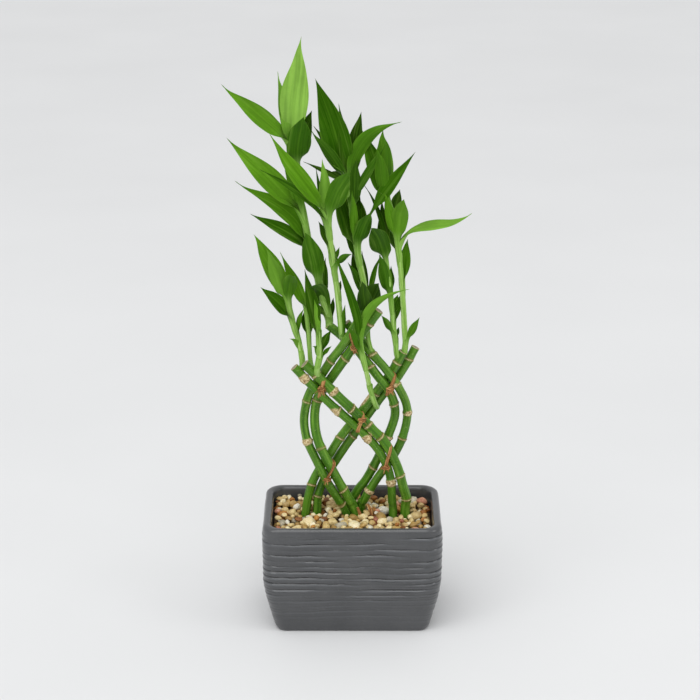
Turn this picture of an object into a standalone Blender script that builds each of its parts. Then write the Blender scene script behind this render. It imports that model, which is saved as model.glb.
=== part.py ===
"""Lucky bamboo in a glazed pot.

Eight cut stalks stand in a bed of pebbles and cross in pairs as an open lattice, held by six
raffia ties. Ten leafy shoots grow from the stalks' joints. Each stalk, tie, shoot stem and
group of leaves is its own closed solid, with a small clearance to its neighbours.

The origin is the centre of the pot's underside, +Z is up and -Y is the front.
Sizes below are millimetres, and MM turns them into Blender's metres.
"""

import math
import random

import bpy
from mathutils import Vector

MM = 0.001
GAP = 0.3  # clearance between neighbouring pieces

POT_WIDTH = 160.0
POT_DEPTH = 104.0
POT_CORNER = 15.0  # radius of the outline's corners at the widest level
POT_CORNER_LEAST = 4.0  # and the least radius further in
POT_CORNER_STEPS = 3
# Outside of the wall, from the bottom up: height, then how far inside the widest outline its
# ends and its front and back are
POT_OUTSIDE = [(0, 13.5, 9.4), (1.4, 11.4, 7.6), (6, 9.6, 6.4), (15, 7.3, 4.9), (23, 5.1, 3.4),
               (31, 3.1, 2.1), (39, 1.6, 1.1)]
RIDGES_FROM, RIDGES_TO, RIDGE_PITCH, RIDGE_DEPTH = 44.0, 92.0, 8.0, 0.9
POT_RIM = [(97, 0.6), (101, 1.2), (102.6, 2.4), (103, 4.2), (102.5, 6.6), (100, 7.9)]
POT_INSIDE = [(70, 8.4), (40, 10.2), (20, 15.5), (10, 22.0)]
POT_FLOOR = 8.0
POT_FLOOR_INSET = 28.0

BED_TOP = 92.5
BED_BUMP = 1.8  # how far the pebbles' tops rise and fall
BED_LEVELS = [(POT_FLOOR + GAP, 29.0), (20, 16.0), (40, 10.8), (70, 8.9), (BED_TOP - 3, 8.7)]
BED_RINGS = (0.93, 0.78, 0.6, 0.42, 0.22)
BED_SEED = 7

STALK_FOOT = 34.0  # height of the stalks' lower ends, down in the pebbles
STALK_STEP = 9.0  # most distance between stations along a stalk
STALK_SIDES = 8
NODE_BULGE = 0.55  # how far a joint's ring stands out
NODE_HALF = 1.8  # half the length of that ring
STEM_STEP = 12.0
STEM_SIDES = 8
STEM_TAPER = 0.25  # share of its radius that a stem loses up to its tip
SHEATH = 0.9  # wall of the leaf sheaths round a stem
SHEATH_REACH = 3.5  # how far a sheath passes its lowest and highest leaf
SHEATH_END = 0.93  # share of its radius that a sheath has at its ends
BUD_HEIGHT, BUD_END = 2.5, 0.6  # the closed top of a shoot's last sheath
BEND_STEP = 9.0  # degrees that a route turns between stations
TIE_STEPS = 16
TIE_SIDES = 6
TIE_RADIUS = 1.0
KNOT_SIDES = 7
KNOT_RADII = (0.45, 0.8, 1.0, 0.95, 0.75, 0.4)
KNOT_SPACING = 0.4  # of the knot's size, between those radii, and how far it stands forward
BLADE_MIDRIB = 0.9  # thickness of a leaf at its midrib
BLADE_THINNING = 0.6  # share of that thickness lost up to the tip
BLADE_FOLD = 0.18  # how far a blade's edges lift, as a share of its half width
BLADE_FOOT, BLADE_SWELL, BLADE_TAPER = 0.06, 0.9, 1.25  # its outline's start, rise and fall
BLADE_STATIONS = (0.0, 0.13, 0.32, 0.54, 0.75, 0.91)

# Each stalk: radius, joint heights, and its route's points (x, y, z)
STALKS = {
    "stalk_1": (4.3, (109, 132, 170, 181, 197, 213, 229),
                [(48, 8, 36), (48, 7, 95), (49, 5, 109), (46, 3, 121), (40, 3, 142), (30, 3, 163),
                 (18, 3, 177), (2, 3, 194), (-13, 3, 209), (-28, 3, 225), (-42, 3, 239)]),
    "stalk_2": (3.8, (126, 169, 195, 226),
                [(38, 8, 36), (37, 7, 94), (36, 5, 107), (35, 3, 126), (31, 3, 142), (22, 3, 159),
                 (10, 3, 173), (-1, 3, 184), (-19, 3, 201), (-36, 3, 219), (-51, 3, 236)]),
    "stalk_3": (4.2, (118, 159, 201, 245, 278),
                [(24, 9, 36), (2, 8, 97), (-2, 6, 106), (-8, 4, 118), (-17, 3, 136), (-28, 3, 159),
                 (-33, 7, 176), (-33, 12, 194), (-28, 13, 209), (-19, 12, 222), (-9, 4, 240),
                 (1, 2, 256), (11, 2, 272), (23, 2, 289)]),
    "stalk_4": (3.9, (104, 164, 200, 241),
                [(14, 9, 36), (-6, 8, 95), (-11, 6, 105), (-17, 4, 116), (-23, 3, 127),
                 (-32, 4.5, 146), (-40, 7, 164), (-43, 9, 180), (-42, 12, 193), (-38, 13, 208),
                 (-29, 13.5, 222), (-19, 6, 241), (-9, 2, 256), (1, 2, 272), (11, 2, 291)]),
    "stalk_5": (3.9, (120, 165, 208, 237),
                [(-49, 10, 36), (-42, 10, 95), (-37, 11, 119), (-29, 12, 136), (-20, 12, 150),
                 (-11, 12, 165), (-1, 12, 179), (10, 12, 193), (22, 12, 210), (34, 12, 227),
                 (45, 12, 247)]),
    "stalk_6": (3.9, (108, 166, 196, 238),
                [(-36, 12, 36), (-32, 12, 92), (-31, 13, 108), (-25, 16, 124), (-15, 16.5, 141),
                 (-5, 16.5, 157), (5, 16.5, 172), (15, 16.5, 187), (26, 16.5, 203),
                 (38, 16.5, 218), (48, 17.5, 234), (56, 18.5, 249)]),
    "stalk_7": (4.0, (135, 166, 200, 236, 260),
                [(-12, 22, 36), (-2, 19, 95), (4, 18, 110), (12, 18, 121), (19, 16, 135),
                 (25, 14, 149), (32, 13, 166), (38, 11, 186), (37, 7, 201), (32, 3, 215),
                 (23, 3, 227), (13, 5, 240), (3, 12, 251), (-8, 13, 261), (-21, 13, 272)]),
    "stalk_8": (3.8, (113, 165, 191, 220, 247),
                [(10, 20, 36), (8, 16, 94), (11, 13, 104), (16, 12.5, 114), (23, 12, 126),
                 (31, 12, 138), (39, 12, 151), (45, 12, 165), (49, 11, 184), (48, 7, 200),
                 (41, 3, 217), (29, 3, 235), (18, 6, 247), (8, 13, 258), (-5, 13, 274)]),
}

# Each tie: where its loop crosses over the canes (x, z), the y of its front and back strands,
# the loop's tilt, how far the front strand leans out of it, both in degrees, the loop's half
# height, how far the knot hangs below the crossing, and the knot's size
TIES = {
    "tie_upper_left": (-28.0, 217.2, -2.8, 19.5, -7, 24, 15.3, -2, 2.6),
    "tie_upper_right": (32.6, 219.4, -3.0, 22.0, 6, 25, 16.3, -2, 2.6),
    "tie_centre": (7.2, 182.3, -2.8, 22.0, 0, 30, 13.6, -2, 2.7),
    "tie_lower_left": (-22.6, 137, -3.0, 22.0, 0, 25, 18.0, 9, 2.7),
    "tie_lower_right": (30.8, 150.9, -2.8, 19.4, 0, 25, 20.0, 14, 2.7),
    "tie_top": (-0.4, 261.5, -4.0, 19.0, 0, -28, 14.0, 9, 2.2),
}

# Each shoot: the stalk that it grows on, its stem's radius and route, and its groups of leaves.
# A leaf: height of its base on the stem, heading and rise in degrees, length, width, how far
# its middle bows upwards as a share of its length, and the turn of its face in degrees.
SHOOTS = {
    "shoot_01": ("stalk_2", 2.6,
                 [(-46, 6, 230), (-44, 10, 238), (-46, 10, 252), (-50, 10, 268),
                  (-54, 10, 284), (-57, 9, 298)],
                 {"lower": [(248, 218, 52, 19, 5, 0.2, 50)],
                  "upper": [(280, 197, 49, 41, 13, 0.05, -75), (296, 281, 47, 44, 13, 0.14, -10),
                            (296, 190, 66, 68, 17, 0.04, 80), (296, 221, 67, 57, 14, 0.03, 75)]}),
    "shoot_02": ("stalk_1", 2.1,
                 [(-34, 4, 231), (-37, 13, 238), (-38, 13, 254), (-39, 13, 270),
                  (-40, 13, 286)],
                 {"upper": [(264, 107, 75, 24, 12, 0.05, -5),
                            (286, 188, 68, 59, 11, 0.03, -90)]}),
    "shoot_03": ("stalk_1", 2.7,
                 [(-30, 3, 228), (-31, -3, 235), (-29, -4, 248), (-29, -4, 262),
                  (-29, -4, 272)],
                 {"lower": [(248, 213, 63, 13, 6, 0.3, 50), (248, 29, 37, 14, 4, 0.05, 35)],
                  "upper": [(268, 142, 76, 60, 12, 0.03, -50),
                            (272, 137, 81, 29, 6, 0.05, -25)]}),
    "shoot_04": ("stalk_7", 3.1,
                 [(-20, 13, 270), (-21, 12, 282), (-26, 11, 296), (-29, 10, 312),
                  (-32, 9, 325), (-36, 9, 340), (-39, 9, 358), (-42, 10, 376), (-45, 11, 390),
                  (-47, 12, 405), (-49, 12, 422), (-52, 13, 436)],
                 {"lower": [(280, 208, 46, 23, 6, 0.05, 65), (286, 234, 48, 38, 13, 0.24, 50),
                            (296, 52, 85, 38, 8, 0.03, 25)],
                  "middle": [(316, 239, 68, 51, 19, 0.04, 35), (342, 190, 35, 62, 12, 0.06, -70),
                             (345, 183, 44, 87, 16, 0.12, -75), (374, 176, 46, 93, 20, 0.02, -65),
                             (376, 204, 73, 62, 13, 0.02, 60)],
                  "top": [(419, 296, 70, 47, 22, 0.05, -30), (422, 44, 65, 44, 16, 0.04, 35),
                          (436, 191, 43, 79, 16, 0.02, -80), (436, 141, 78, 62, 11, 0.02, -40),
                          (436, 17, 85, 92, 25, 0.02, 70)]}),
    "shoot_05": ("stalk_7", 2.7,
                 [(-8, 13, 261), (-9, 6, 265), (-11, 5, 286), (-13, 3, 307), (-16, 1, 328),
                  (-18, 0, 346), (-20, -1, 363), (-21, -1, 376)],
                 {"lower": [(330, 319, 37, 26, 6, 0.1, -70)],
                  "upper": [(343, 134, 76, 76, 8, 0.03, -40), (348, 129, 49, 25, 7, 0.05, -40),
                            (376, 188, 57, 89, 15, 0, -80), (376, 301, 52, 60, 19, 0.07, -50),
                            (376, 125, 82, 49, 11, 0.03, -25), (376, 123, 63, 31, 5, 0.03, -20),
                            (370, 193, 41, 77, 7, 0.08, -85)]}),
    "shoot_06": ("stalk_4", 2.8,
                 [(11, 3, 289), (11, 6, 297), (10, 9, 312), (7, 10, 327), (4, 10, 344),
                  (1, 11, 364), (-1, 13, 384), (-3, 14, 403)],
                 {"middle": [(351, 355, 58, 94, 12, 0.04, 80), (346, 301, 57, 44, 14, 0.05, -40),
                             (351, 69, 78, 43, 8, 0.02, 10), (346, 136, 66, 61, 27, 0.1, -35),
                             (336, 147, 56, 24, 7, 0.04, -40), (352, 258, 75, 49, 8, 0.02, 5)],
                  "upper": [(379, 293, 80, 46, 13, 0.02, -25), (384, 333, 60, 64, 8, 0.04, -85)],
                  "top": [(402, 136, 12, 22, 8, 0.05, -45), (403, 164, 72, 92, 25, 0.03, -70),
                          (403, 204, 55, 58, 10, 0.03, 75), (403, 147, 51, 56, 9, 0.04, -40),
                          (400, 197, 30, 46, 5, 0.03, -70), (403, 338, 50, 73, 13, 0.2, -85),
                          (403, 62, 69, 60, 15, 0.04, 25), (403, 144, 82, 67, 9, 0.02, -50)]}),
    "shoot_07": ("stalk_6", 2.8,
                 [(21, 16, 196), (22, 9, 196), (20, 3, 202), (16, 1, 216), (13, -6, 232),
                  (10, -8, 246), (8, -8, 254)],
                 {"upper": [(254, 212, 64, 30, 6, 0.08, 70), (254, 182, 77, 96, 8, 0.05, -90),
                            (254, 344, 56, 75, 8, 0.24, -90)]}),
    "shoot_08": ("stalk_8", 1.8,
                 [(18, 5, 247), (16, 6, 254), (14, 6, 262), (13, 9, 270), (13, 11, 282),
                  (13, 12, 296)],
                 {"upper": [(296, 9, 75, 43, 5, 0.04, 75), (296, 127, 81, 44, 7, 0.02, -35)]}),
    "shoot_09": ("stalk_5", 2.3,
                 [(41, 13, 240), (39, 9, 247), (38, 9, 259), (36, 10, 273), (34, 11, 296),
                  (31, 12, 319), (29, 12, 334)],
                 {"lower": [(260, 72, 37, 13, 4, 0.04, 10)],
                  "middle": [(300, 215, 74, 42, 12, 0.04, 60), (303, 85, 71, 23, 7, 0.04, 5)],
                  "top": [(334, 237, 56, 40, 19, 0.08, 50), (334, 113, 82, 52, 11, 0.02, -20),
                          (334, 143, 70, 66, 5, 0.12, -40)]}),
    "shoot_10": ("stalk_5", 2.6,
                 [(46, 13, 246), (47, 13, 256), (46, 13, 269), (45, 13, 286), (43, 13, 314),
                  (41, 13, 334), (39, 13, 350), (36, 13, 370), (31, 13, 383), (28, 13, 390)],
                 {"lower": [(258, 330, 62, 27, 7, 0.02, -60)],
                  "middle": [(314, 52, 78, 36, 11, 0.04, 35), (348, 350, 25, 70, 9, 0.04, 65),
                             (350, 281, 61, 50, 15, 0.1, -15), (341, 122, 52, 23, 11, 0.05, -20),
                             (352, 218, 73, 45, 10, 0.02, 60)],
                  "top": [(374, 66, 50, 23, 9, 0.03, 15), (388, 177, 72, 63, 17, 0.03, -70),
                          (388, 252, 83, 63, 19, 0.02, 20)]}),
}

COLOURS = {
    "pot": ((0.10, 0.10, 0.105), 0.35),
    "pebbles": ((0.62, 0.50, 0.33), 0.6),
    "stalk": ((0.12, 0.26, 0.04), 0.4),
    "stem": ((0.28, 0.48, 0.11), 0.4),
    "leaf": ((0.07, 0.22, 0.03), 0.4),
    "raffia": ((0.36, 0.19, 0.08), 0.8),
}


def clear_scene():
    for obj in list(bpy.data.objects):
        bpy.data.objects.remove(obj, do_unlink=True)


def material(slot):
    found = bpy.data.materials.get(slot)
    if found:
        return found
    colour, roughness = COLOURS[slot]
    made = bpy.data.materials.new(slot)
    made.use_nodes = True
    shader = made.node_tree.nodes["Principled BSDF"]
    shader.inputs["Base Color"].default_value = (*colour, 1)
    shader.inputs["Roughness"].default_value = roughness
    return made


def add_object(name, points, faces, slot):
    """A mesh object from points in millimetres."""
    mesh = bpy.data.meshes.new(name)
    mesh.from_pydata([tuple(Vector(p) * MM) for p in points], [], faces)
    mesh.materials.append(material(slot))
    mesh.shade_smooth()
    mesh.set_sharp_from_angle(angle=math.radians(35))
    obj = bpy.data.objects.new(name, mesh)
    bpy.context.scene.collection.objects.link(obj)
    return obj


def as_helper(obj):
    """Hides an object that only cuts or joins."""
    obj.hide_render = True
    obj.display_type = "WIRE"
    return obj


def combine(obj, other, operation):
    modifier = obj.modifiers.new(operation.lower() + "_" + other.name, "BOOLEAN")
    modifier.operation = operation
    modifier.solver = "EXACT"
    modifier.object = other


def loft(rings, closed=False):
    """Points and faces of a skin over rings of equal length, with flat ends or joined in a loop."""
    count = len(rings[0])
    points = [p for ring in rings for p in ring]
    faces = [] if closed else [list(range(count))[::-1]]
    for level in range(len(rings) - (0 if closed else 1)):
        low, high = level * count, (level + 1) % len(rings) * count
        for i in range(count):
            j = (i + 1) % count
            faces.append((low + i, low + j, high + j, high + i))
    if not closed:
        faces.append([len(points) - count + i for i in range(count)])
    return points, faces


def rounded_rectangle(z, inset, front_inset=None):
    """A level of the pot's outline, this far inside its widest outline."""
    half_x = POT_WIDTH / 2 - inset
    half_y = POT_DEPTH / 2 - (inset if front_inset is None else front_inset)
    radius = max(POT_CORNER - inset / 2, POT_CORNER_LEAST)
    ring = []
    for turn, (sx, sy) in enumerate(((1, 1), (-1, 1), (-1, -1), (1, -1))):
        for step in range(POT_CORNER_STEPS + 1):
            angle = math.radians(90 * (turn + step / POT_CORNER_STEPS))
            ring.append((sx * (half_x - radius) + radius * math.cos(angle),
                         sy * (half_y - radius) + radius * math.sin(angle), z))
    return ring


def build_pot():
    """An open rectangular pot: its wall bellies out, carries soft ridges and rolls over at the rim."""
    levels = list(POT_OUTSIDE)
    half_pitches = round(2 * (RIDGES_TO - RIDGES_FROM) / RIDGE_PITCH)
    for i in range(half_pitches + 1):
        z = RIDGES_FROM + i * RIDGE_PITCH / 2
        levels.append((z, RIDGE_DEPTH if i % 2 else 0.0))
    levels += POT_RIM + POT_INSIDE + [(POT_FLOOR, POT_FLOOR_INSET)]
    points, faces = loft([rounded_rectangle(*level) for level in levels])
    add_object("pot", points, faces, "pot")


def build_pebble_bed(cutters):
    """The pebbles as one bed that fills the pot, with a lumpy top and a hole for each stalk."""
    lumps = random.Random(BED_SEED)
    rings = [rounded_rectangle(*level) for level in BED_LEVELS]
    edge = rings[-1]
    for share in BED_RINGS:
        rings.append([(x * share, y * share, BED_TOP + lumps.uniform(-BED_BUMP, BED_BUMP))
                      for x, y, _ in edge])
    points, faces = loft(rings)
    last = faces.pop()
    points.append((0, 0, BED_TOP))
    centre = len(points) - 1
    faces += [(a, b, centre) for a, b in zip(last, last[1:] + last[:1])]
    bed = add_object("pebble_bed", points, faces, "pebbles")
    for cutter in cutters:
        combine(bed, cutter, "DIFFERENCE")


def smooth_route(points, spacing):
    """Points about this far apart on a smooth curve through the given ones."""
    ends = [Vector(p) for p in points]
    ends = [2 * ends[0] - ends[1]] + ends + [2 * ends[-1] - ends[-2]]
    route = []
    for a, b, c, d in zip(ends, ends[1:], ends[2:], ends[3:]):
        bend = math.degrees((b - a).angle(d - c))
        steps = max(1, round(min((c - b).length / spacing, bend / BEND_STEP)))
        for step in range(steps):
            t = step / steps
            route.append(0.5 * (2 * b + (c - a) * t + (2 * a - 5 * b + 4 * c - d) * t * t
                                + (3 * b - a - 3 * c + d) * t ** 3))
    route.append(ends[-2])
    return route


def point_at_height(route, z):
    """The point and direction where a rising route passes this height."""
    for a, b in zip(route, route[1:]):
        if a.z <= z <= b.z:
            return a.lerp(b, (z - a.z) / (b.z - a.z)), (b - a).normalized()
    end = route[-1] if z > route[-1].z else route[0]
    return end.copy(), (route[-1] - route[-2]).normalized()


def sweep(route, radii, sides, closed=False):
    """Points and faces of a round tube along a route, one radius for each point."""
    rings = []
    last = len(route) - 1
    for i, (centre, radius) in enumerate(zip(route, radii)):
        after = route[(i + 1) % len(route)] if closed else route[min(i + 1, last)]
        before = route[i - 1] if closed else route[max(i - 1, 0)]
        along = (after - before).normalized()
        across = Vector((1, 0, 0))
        across = (across - along * across.dot(along)).normalized()
        third = along.cross(across)
        ring = []
        for k in range(sides):
            angle = 2 * math.pi * k / sides
            ring.append(centre + radius * (across * math.cos(angle) + third * math.sin(angle)))
        rings.append(ring)
    return loft(rings, closed)


def stalk_route(points, joints):
    """The stalk's centre line, with three stations at each joint."""
    route = smooth_route(points, STALK_STEP)
    kept = [p for p in route if all(abs(p.z - z) > 2.4 * NODE_HALF for z in joints)]
    kept += [point_at_height(route, z + shift)[0]
             for z in joints for shift in (-NODE_HALF, 0.0, NODE_HALF)]
    kept.sort(key=lambda p: p.z)
    if kept[-1].z < route[-1].z:
        kept.append(route[-1])
    return kept


def build_stalk(name, radius, joints, points):
    """A cane with a raised ring at each joint, and a cutter that clears it."""
    route = stalk_route(points, joints)
    radii = [radius + (NODE_BULGE if any(abs(p.z - z) < 0.5 for z in joints) else 0.0)
             for p in route]
    add_object(name, *sweep(route, radii, STALK_SIDES), "stalk")
    longer = [route[0] + (route[0] - route[1]).normalized() * 2 * GAP] + route[1:-1]
    longer.append(route[-1] + (route[-1] - route[-2]).normalized() * 2 * GAP)
    grown = [r + GAP + 0.1 for r in radii]
    cutter = add_object(name + "_clearance", *sweep(longer, grown, STALK_SIDES), "stalk")
    return as_helper(cutter)


def build_tie(name, x, z, front, back, tilt, lean, half, drop, size):
    """A raffia loop round four crossing canes: over the front pair, behind the back pair."""
    middle, reach = (front + back) / 2, (back - front) / 2
    slope, skew = math.tan(math.radians(tilt)), math.tan(math.radians(lean))
    loop = []
    for i in range(TIE_STEPS):
        turn = 2 * math.pi * i / TIE_STEPS
        c, s = math.cos(turn), math.sin(turn)
        squared = (c ** 4 + s ** 4) ** -0.25
        rise = half * s * squared
        loop.append(Vector((x + rise * (slope + skew * c), middle - reach * c * squared, z + rise)))
    wrap = add_object(name, *sweep(loop, [TIE_RADIUS] * TIE_STEPS, TIE_SIDES, closed=True),
                      "raffia")
    held = min((p for p in loop if p.y < middle), key=lambda p: abs(p.z - z + drop))
    spacing = KNOT_SPACING * size
    centre = (len(KNOT_RADII) - 1) / 2
    knot = [held + Vector((0, -spacing, spacing * (i - centre))) for i in range(len(KNOT_RADII))]
    radii = [size * r for r in KNOT_RADII]
    lump = add_object(name + "_knot", *sweep(knot, radii, KNOT_SIDES), "raffia")
    combine(wrap, as_helper(lump), "UNION")


def outline(t):
    """Share of its full width that a leaf has, this far from base to tip."""
    def curve(share):
        return (share + BLADE_FOOT) ** BLADE_SWELL * (1 - share) ** BLADE_TAPER
    widest = (BLADE_SWELL - BLADE_FOOT * BLADE_TAPER) / (BLADE_SWELL + BLADE_TAPER)
    return curve(t) / curve(widest)


def build_blade(name, stem, radius, z, heading, rise, length, width, bow, turn):
    """A leaf blade as a thin chevron that narrows to its tip."""
    foot, _ = point_at_height(stem, z)
    h, r, roll = (math.radians(v) for v in (heading, rise, turn))
    level = Vector((math.cos(h), math.sin(h), 0))
    chord = level * math.cos(r) + Vector((0, 0, math.sin(r)))
    inward = Vector((0, 0, math.cos(r))) - level * math.sin(r)
    side = Vector((-math.sin(h), math.cos(h), 0)) * math.cos(roll) + inward * math.sin(roll)
    foot = foot + level * (radius + GAP + SHEATH / 2)
    points = []
    for t in BLADE_STATIONS:
        centre = foot + chord * (length * t) + inward * (4 * bow * length * t * (1 - t))
        along = (chord + inward * (4 * bow * (1 - 2 * t))).normalized()
        across = (side - along * side.dot(along)).normalized()
        face = across.cross(along) * -1
        half = width / 2 * outline(t)
        rib = BLADE_MIDRIB * (1 - BLADE_THINNING * t) / 2
        lift = face * (BLADE_FOLD * half)
        points += [centre - across * half + lift, centre + face * rib,
                   centre + across * half + lift, centre - face * rib]
    points.append(foot + chord * length)
    tip = len(points) - 1
    faces = [(0, 3, 1), (1, 3, 2)]
    for level_start in range(0, tip - 4, 4):
        for i in range(4):
            j = (i + 1) % 4
            faces.append((level_start + i, level_start + j, level_start + 4 + j, level_start + 4 + i))
    faces += [(tip - 4 + i, tip - 4 + (i + 1) % 4, tip) for i in range(4)]
    if (points[1] - points[3]).dot((points[2] - points[0]).cross(chord)) > 0:
        faces = [face[::-1] for face in faces]
    return as_helper(add_object(name, points, faces, "leaf"))


def build_leaves(name, stem, radius, leaves, last, cutter):
    """A group of leaves, joined by the sheaths that clasp the stem."""
    low = min(leaf[0] for leaf in leaves) - SHEATH_REACH
    high = max(leaf[0] for leaf in leaves) + SHEATH_REACH
    bottom, _ = point_at_height(stem, low)
    top, along = point_at_height(stem, high)
    if last:
        top = stem[-1] + along * BUD_HEIGHT
    route = [bottom] + [p for p in stem if low + 2 < p.z < top.z - 2] + [top]
    outer = radius + GAP + SHEATH
    radii = [outer] * len(route)
    radii[0] *= SHEATH_END
    radii[-1] *= BUD_END if last else SHEATH_END
    sheath = add_object(name, *sweep(route, radii, STEM_SIDES), "leaf")
    for i, leaf in enumerate(leaves):
        combine(sheath, build_blade(f"{name}_blade_{i + 1}", stem, radius, *leaf), "UNION")
    combine(sheath, cutter, "DIFFERENCE")


def build_shoot(name, radius, points, groups, stalk_cutter):
    """A shoot: its stem, cut to fit the stalk that it grows on, and its groups of leaves."""
    stem = smooth_route(points, STEM_STEP)
    thin = [radius * (1 - STEM_TAPER * i / (len(stem) - 1)) for i in range(len(stem))]
    stem_object = add_object(name + "_stem", *sweep(stem, thin, STEM_SIDES), "stem")
    combine(stem_object, stalk_cutter, "DIFFERENCE")
    longer = stem[:-1] + [stem[-1] + (stem[-1] - stem[-2]).normalized() * GAP]
    bore = sweep(longer, [r + GAP for r in thin], STEM_SIDES)
    cutter = as_helper(add_object(name + "_bore", *bore, "stem"))
    last = list(groups)[-1]
    for group, leaves in groups.items():
        build_leaves(f"{name}_leaves_{group}", stem, radius, leaves, group == last, cutter)


def main():
    clear_scene()
    build_pot()
    cutters = {name: build_stalk(name, *values) for name, values in STALKS.items()}
    build_pebble_bed(cutters.values())
    for name, values in TIES.items():
        build_tie(name, *values)
    for name, (stalk, radius, points, groups) in SHOOTS.items():
        build_shoot(name, radius, points, groups, cutters[stalk])


main()
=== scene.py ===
"""Looks for the tied lucky bamboo: glazed pot, gravel, canes, raffia ties, shoots and leaves.

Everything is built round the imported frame, in its coordinates. Sizes are millimetres, and MM
turns them into metres. The origin is the centre of the pot's underside, +Z is up, -Y is front.
"""

import math
import random

import bmesh
import bpy
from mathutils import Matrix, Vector, noise


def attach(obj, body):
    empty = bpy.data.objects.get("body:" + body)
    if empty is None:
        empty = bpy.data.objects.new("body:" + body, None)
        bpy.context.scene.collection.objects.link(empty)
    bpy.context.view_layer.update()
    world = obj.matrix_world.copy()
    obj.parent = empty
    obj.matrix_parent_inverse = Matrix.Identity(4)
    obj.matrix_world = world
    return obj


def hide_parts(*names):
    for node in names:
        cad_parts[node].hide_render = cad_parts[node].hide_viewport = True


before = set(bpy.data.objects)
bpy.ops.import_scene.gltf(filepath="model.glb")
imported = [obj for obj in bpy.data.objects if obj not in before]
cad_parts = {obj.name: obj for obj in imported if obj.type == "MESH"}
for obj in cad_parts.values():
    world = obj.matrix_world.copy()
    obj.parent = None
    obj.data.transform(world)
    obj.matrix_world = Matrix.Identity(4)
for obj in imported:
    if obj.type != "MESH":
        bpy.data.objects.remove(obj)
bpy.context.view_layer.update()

MM = 0.001

# ---------------------------------------------------------------- sizes

POT_WIDTH, POT_DEPTH, POT_CORNER = 160.0, 104.0, 15.0
POT_OUTSIDE = [(0, 13.5), (1.4, 11.4), (6, 9.6), (15, 7.3), (23, 5.1), (31, 3.1), (39, 1.6),
               (46, 0.5), (60, 0.2), (85, 0.0), (95, 0.2), (99.5, 0.6), (101.3, 1.2), (102.5, 2.3),
               (103, 4.0), (102.8, 5.8), (101.9, 7.2), (99.8, 7.9)]
FRONT_TAPER = 0.69  # share of the ends' taper that the front and back have
BELLY_Z = 44  # FRONT_TAPER holds below this height
POT_INSIDE = [(90, 8.1), (82, 8.3), (70, 8.4)]
POT_CORNER_LEAST, CORNER_STEPS, POT_EDGE, POT_STEP = 4.0, 10, 2.2, 0.5
COMBED_TO = 99  # the combed lines stop here, below the rim
GROOVE_PITCH, FINE_PITCH = 5.6, 2.9  # between the deep lines, and between the light ones
GROOVE_DEPTH, CREST_HEIGHT, WALL_LUMPS = 0.85, 0.45, 0.35

GRAVEL_Z = 92.0
GRAVEL_SEED, STONE_TRIES = 11, 4200
STONE_RADII = (2.4, 3.0, 3.6, 4.2, 4.8, 5.5, 6.2)
WALL, INNER_CORNER = 8.6, 9.0  # from the pot's outside to the gravel, and the gravel's corners

CANE_FROM, CANE_STEP, CANE_SIDES = 60, 0.8, 28  # canes are made from this height up
TIE_STRANDS, TIE_STEPS, STRAND_SPACING, STRAND_SIDES, STREAK_RADIUS = 8, 72, 0.34, 7, 0.5
KNOT_TURNS, KNOT_STEPS, KNOT_ENDS = 15, 22, 7
ROOT_SEED, ROOT_STRANDS = 77, 7
STEM_SIDES, STEM_TAPER, SHEATH_SPACING = 18, 0.25, 9.5
BLADE_COLUMNS = 11
SHARP_ANGLE = 50  # degrees between faces that show as an edge
FLOOR_HALF = 9.0  # metres

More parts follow.
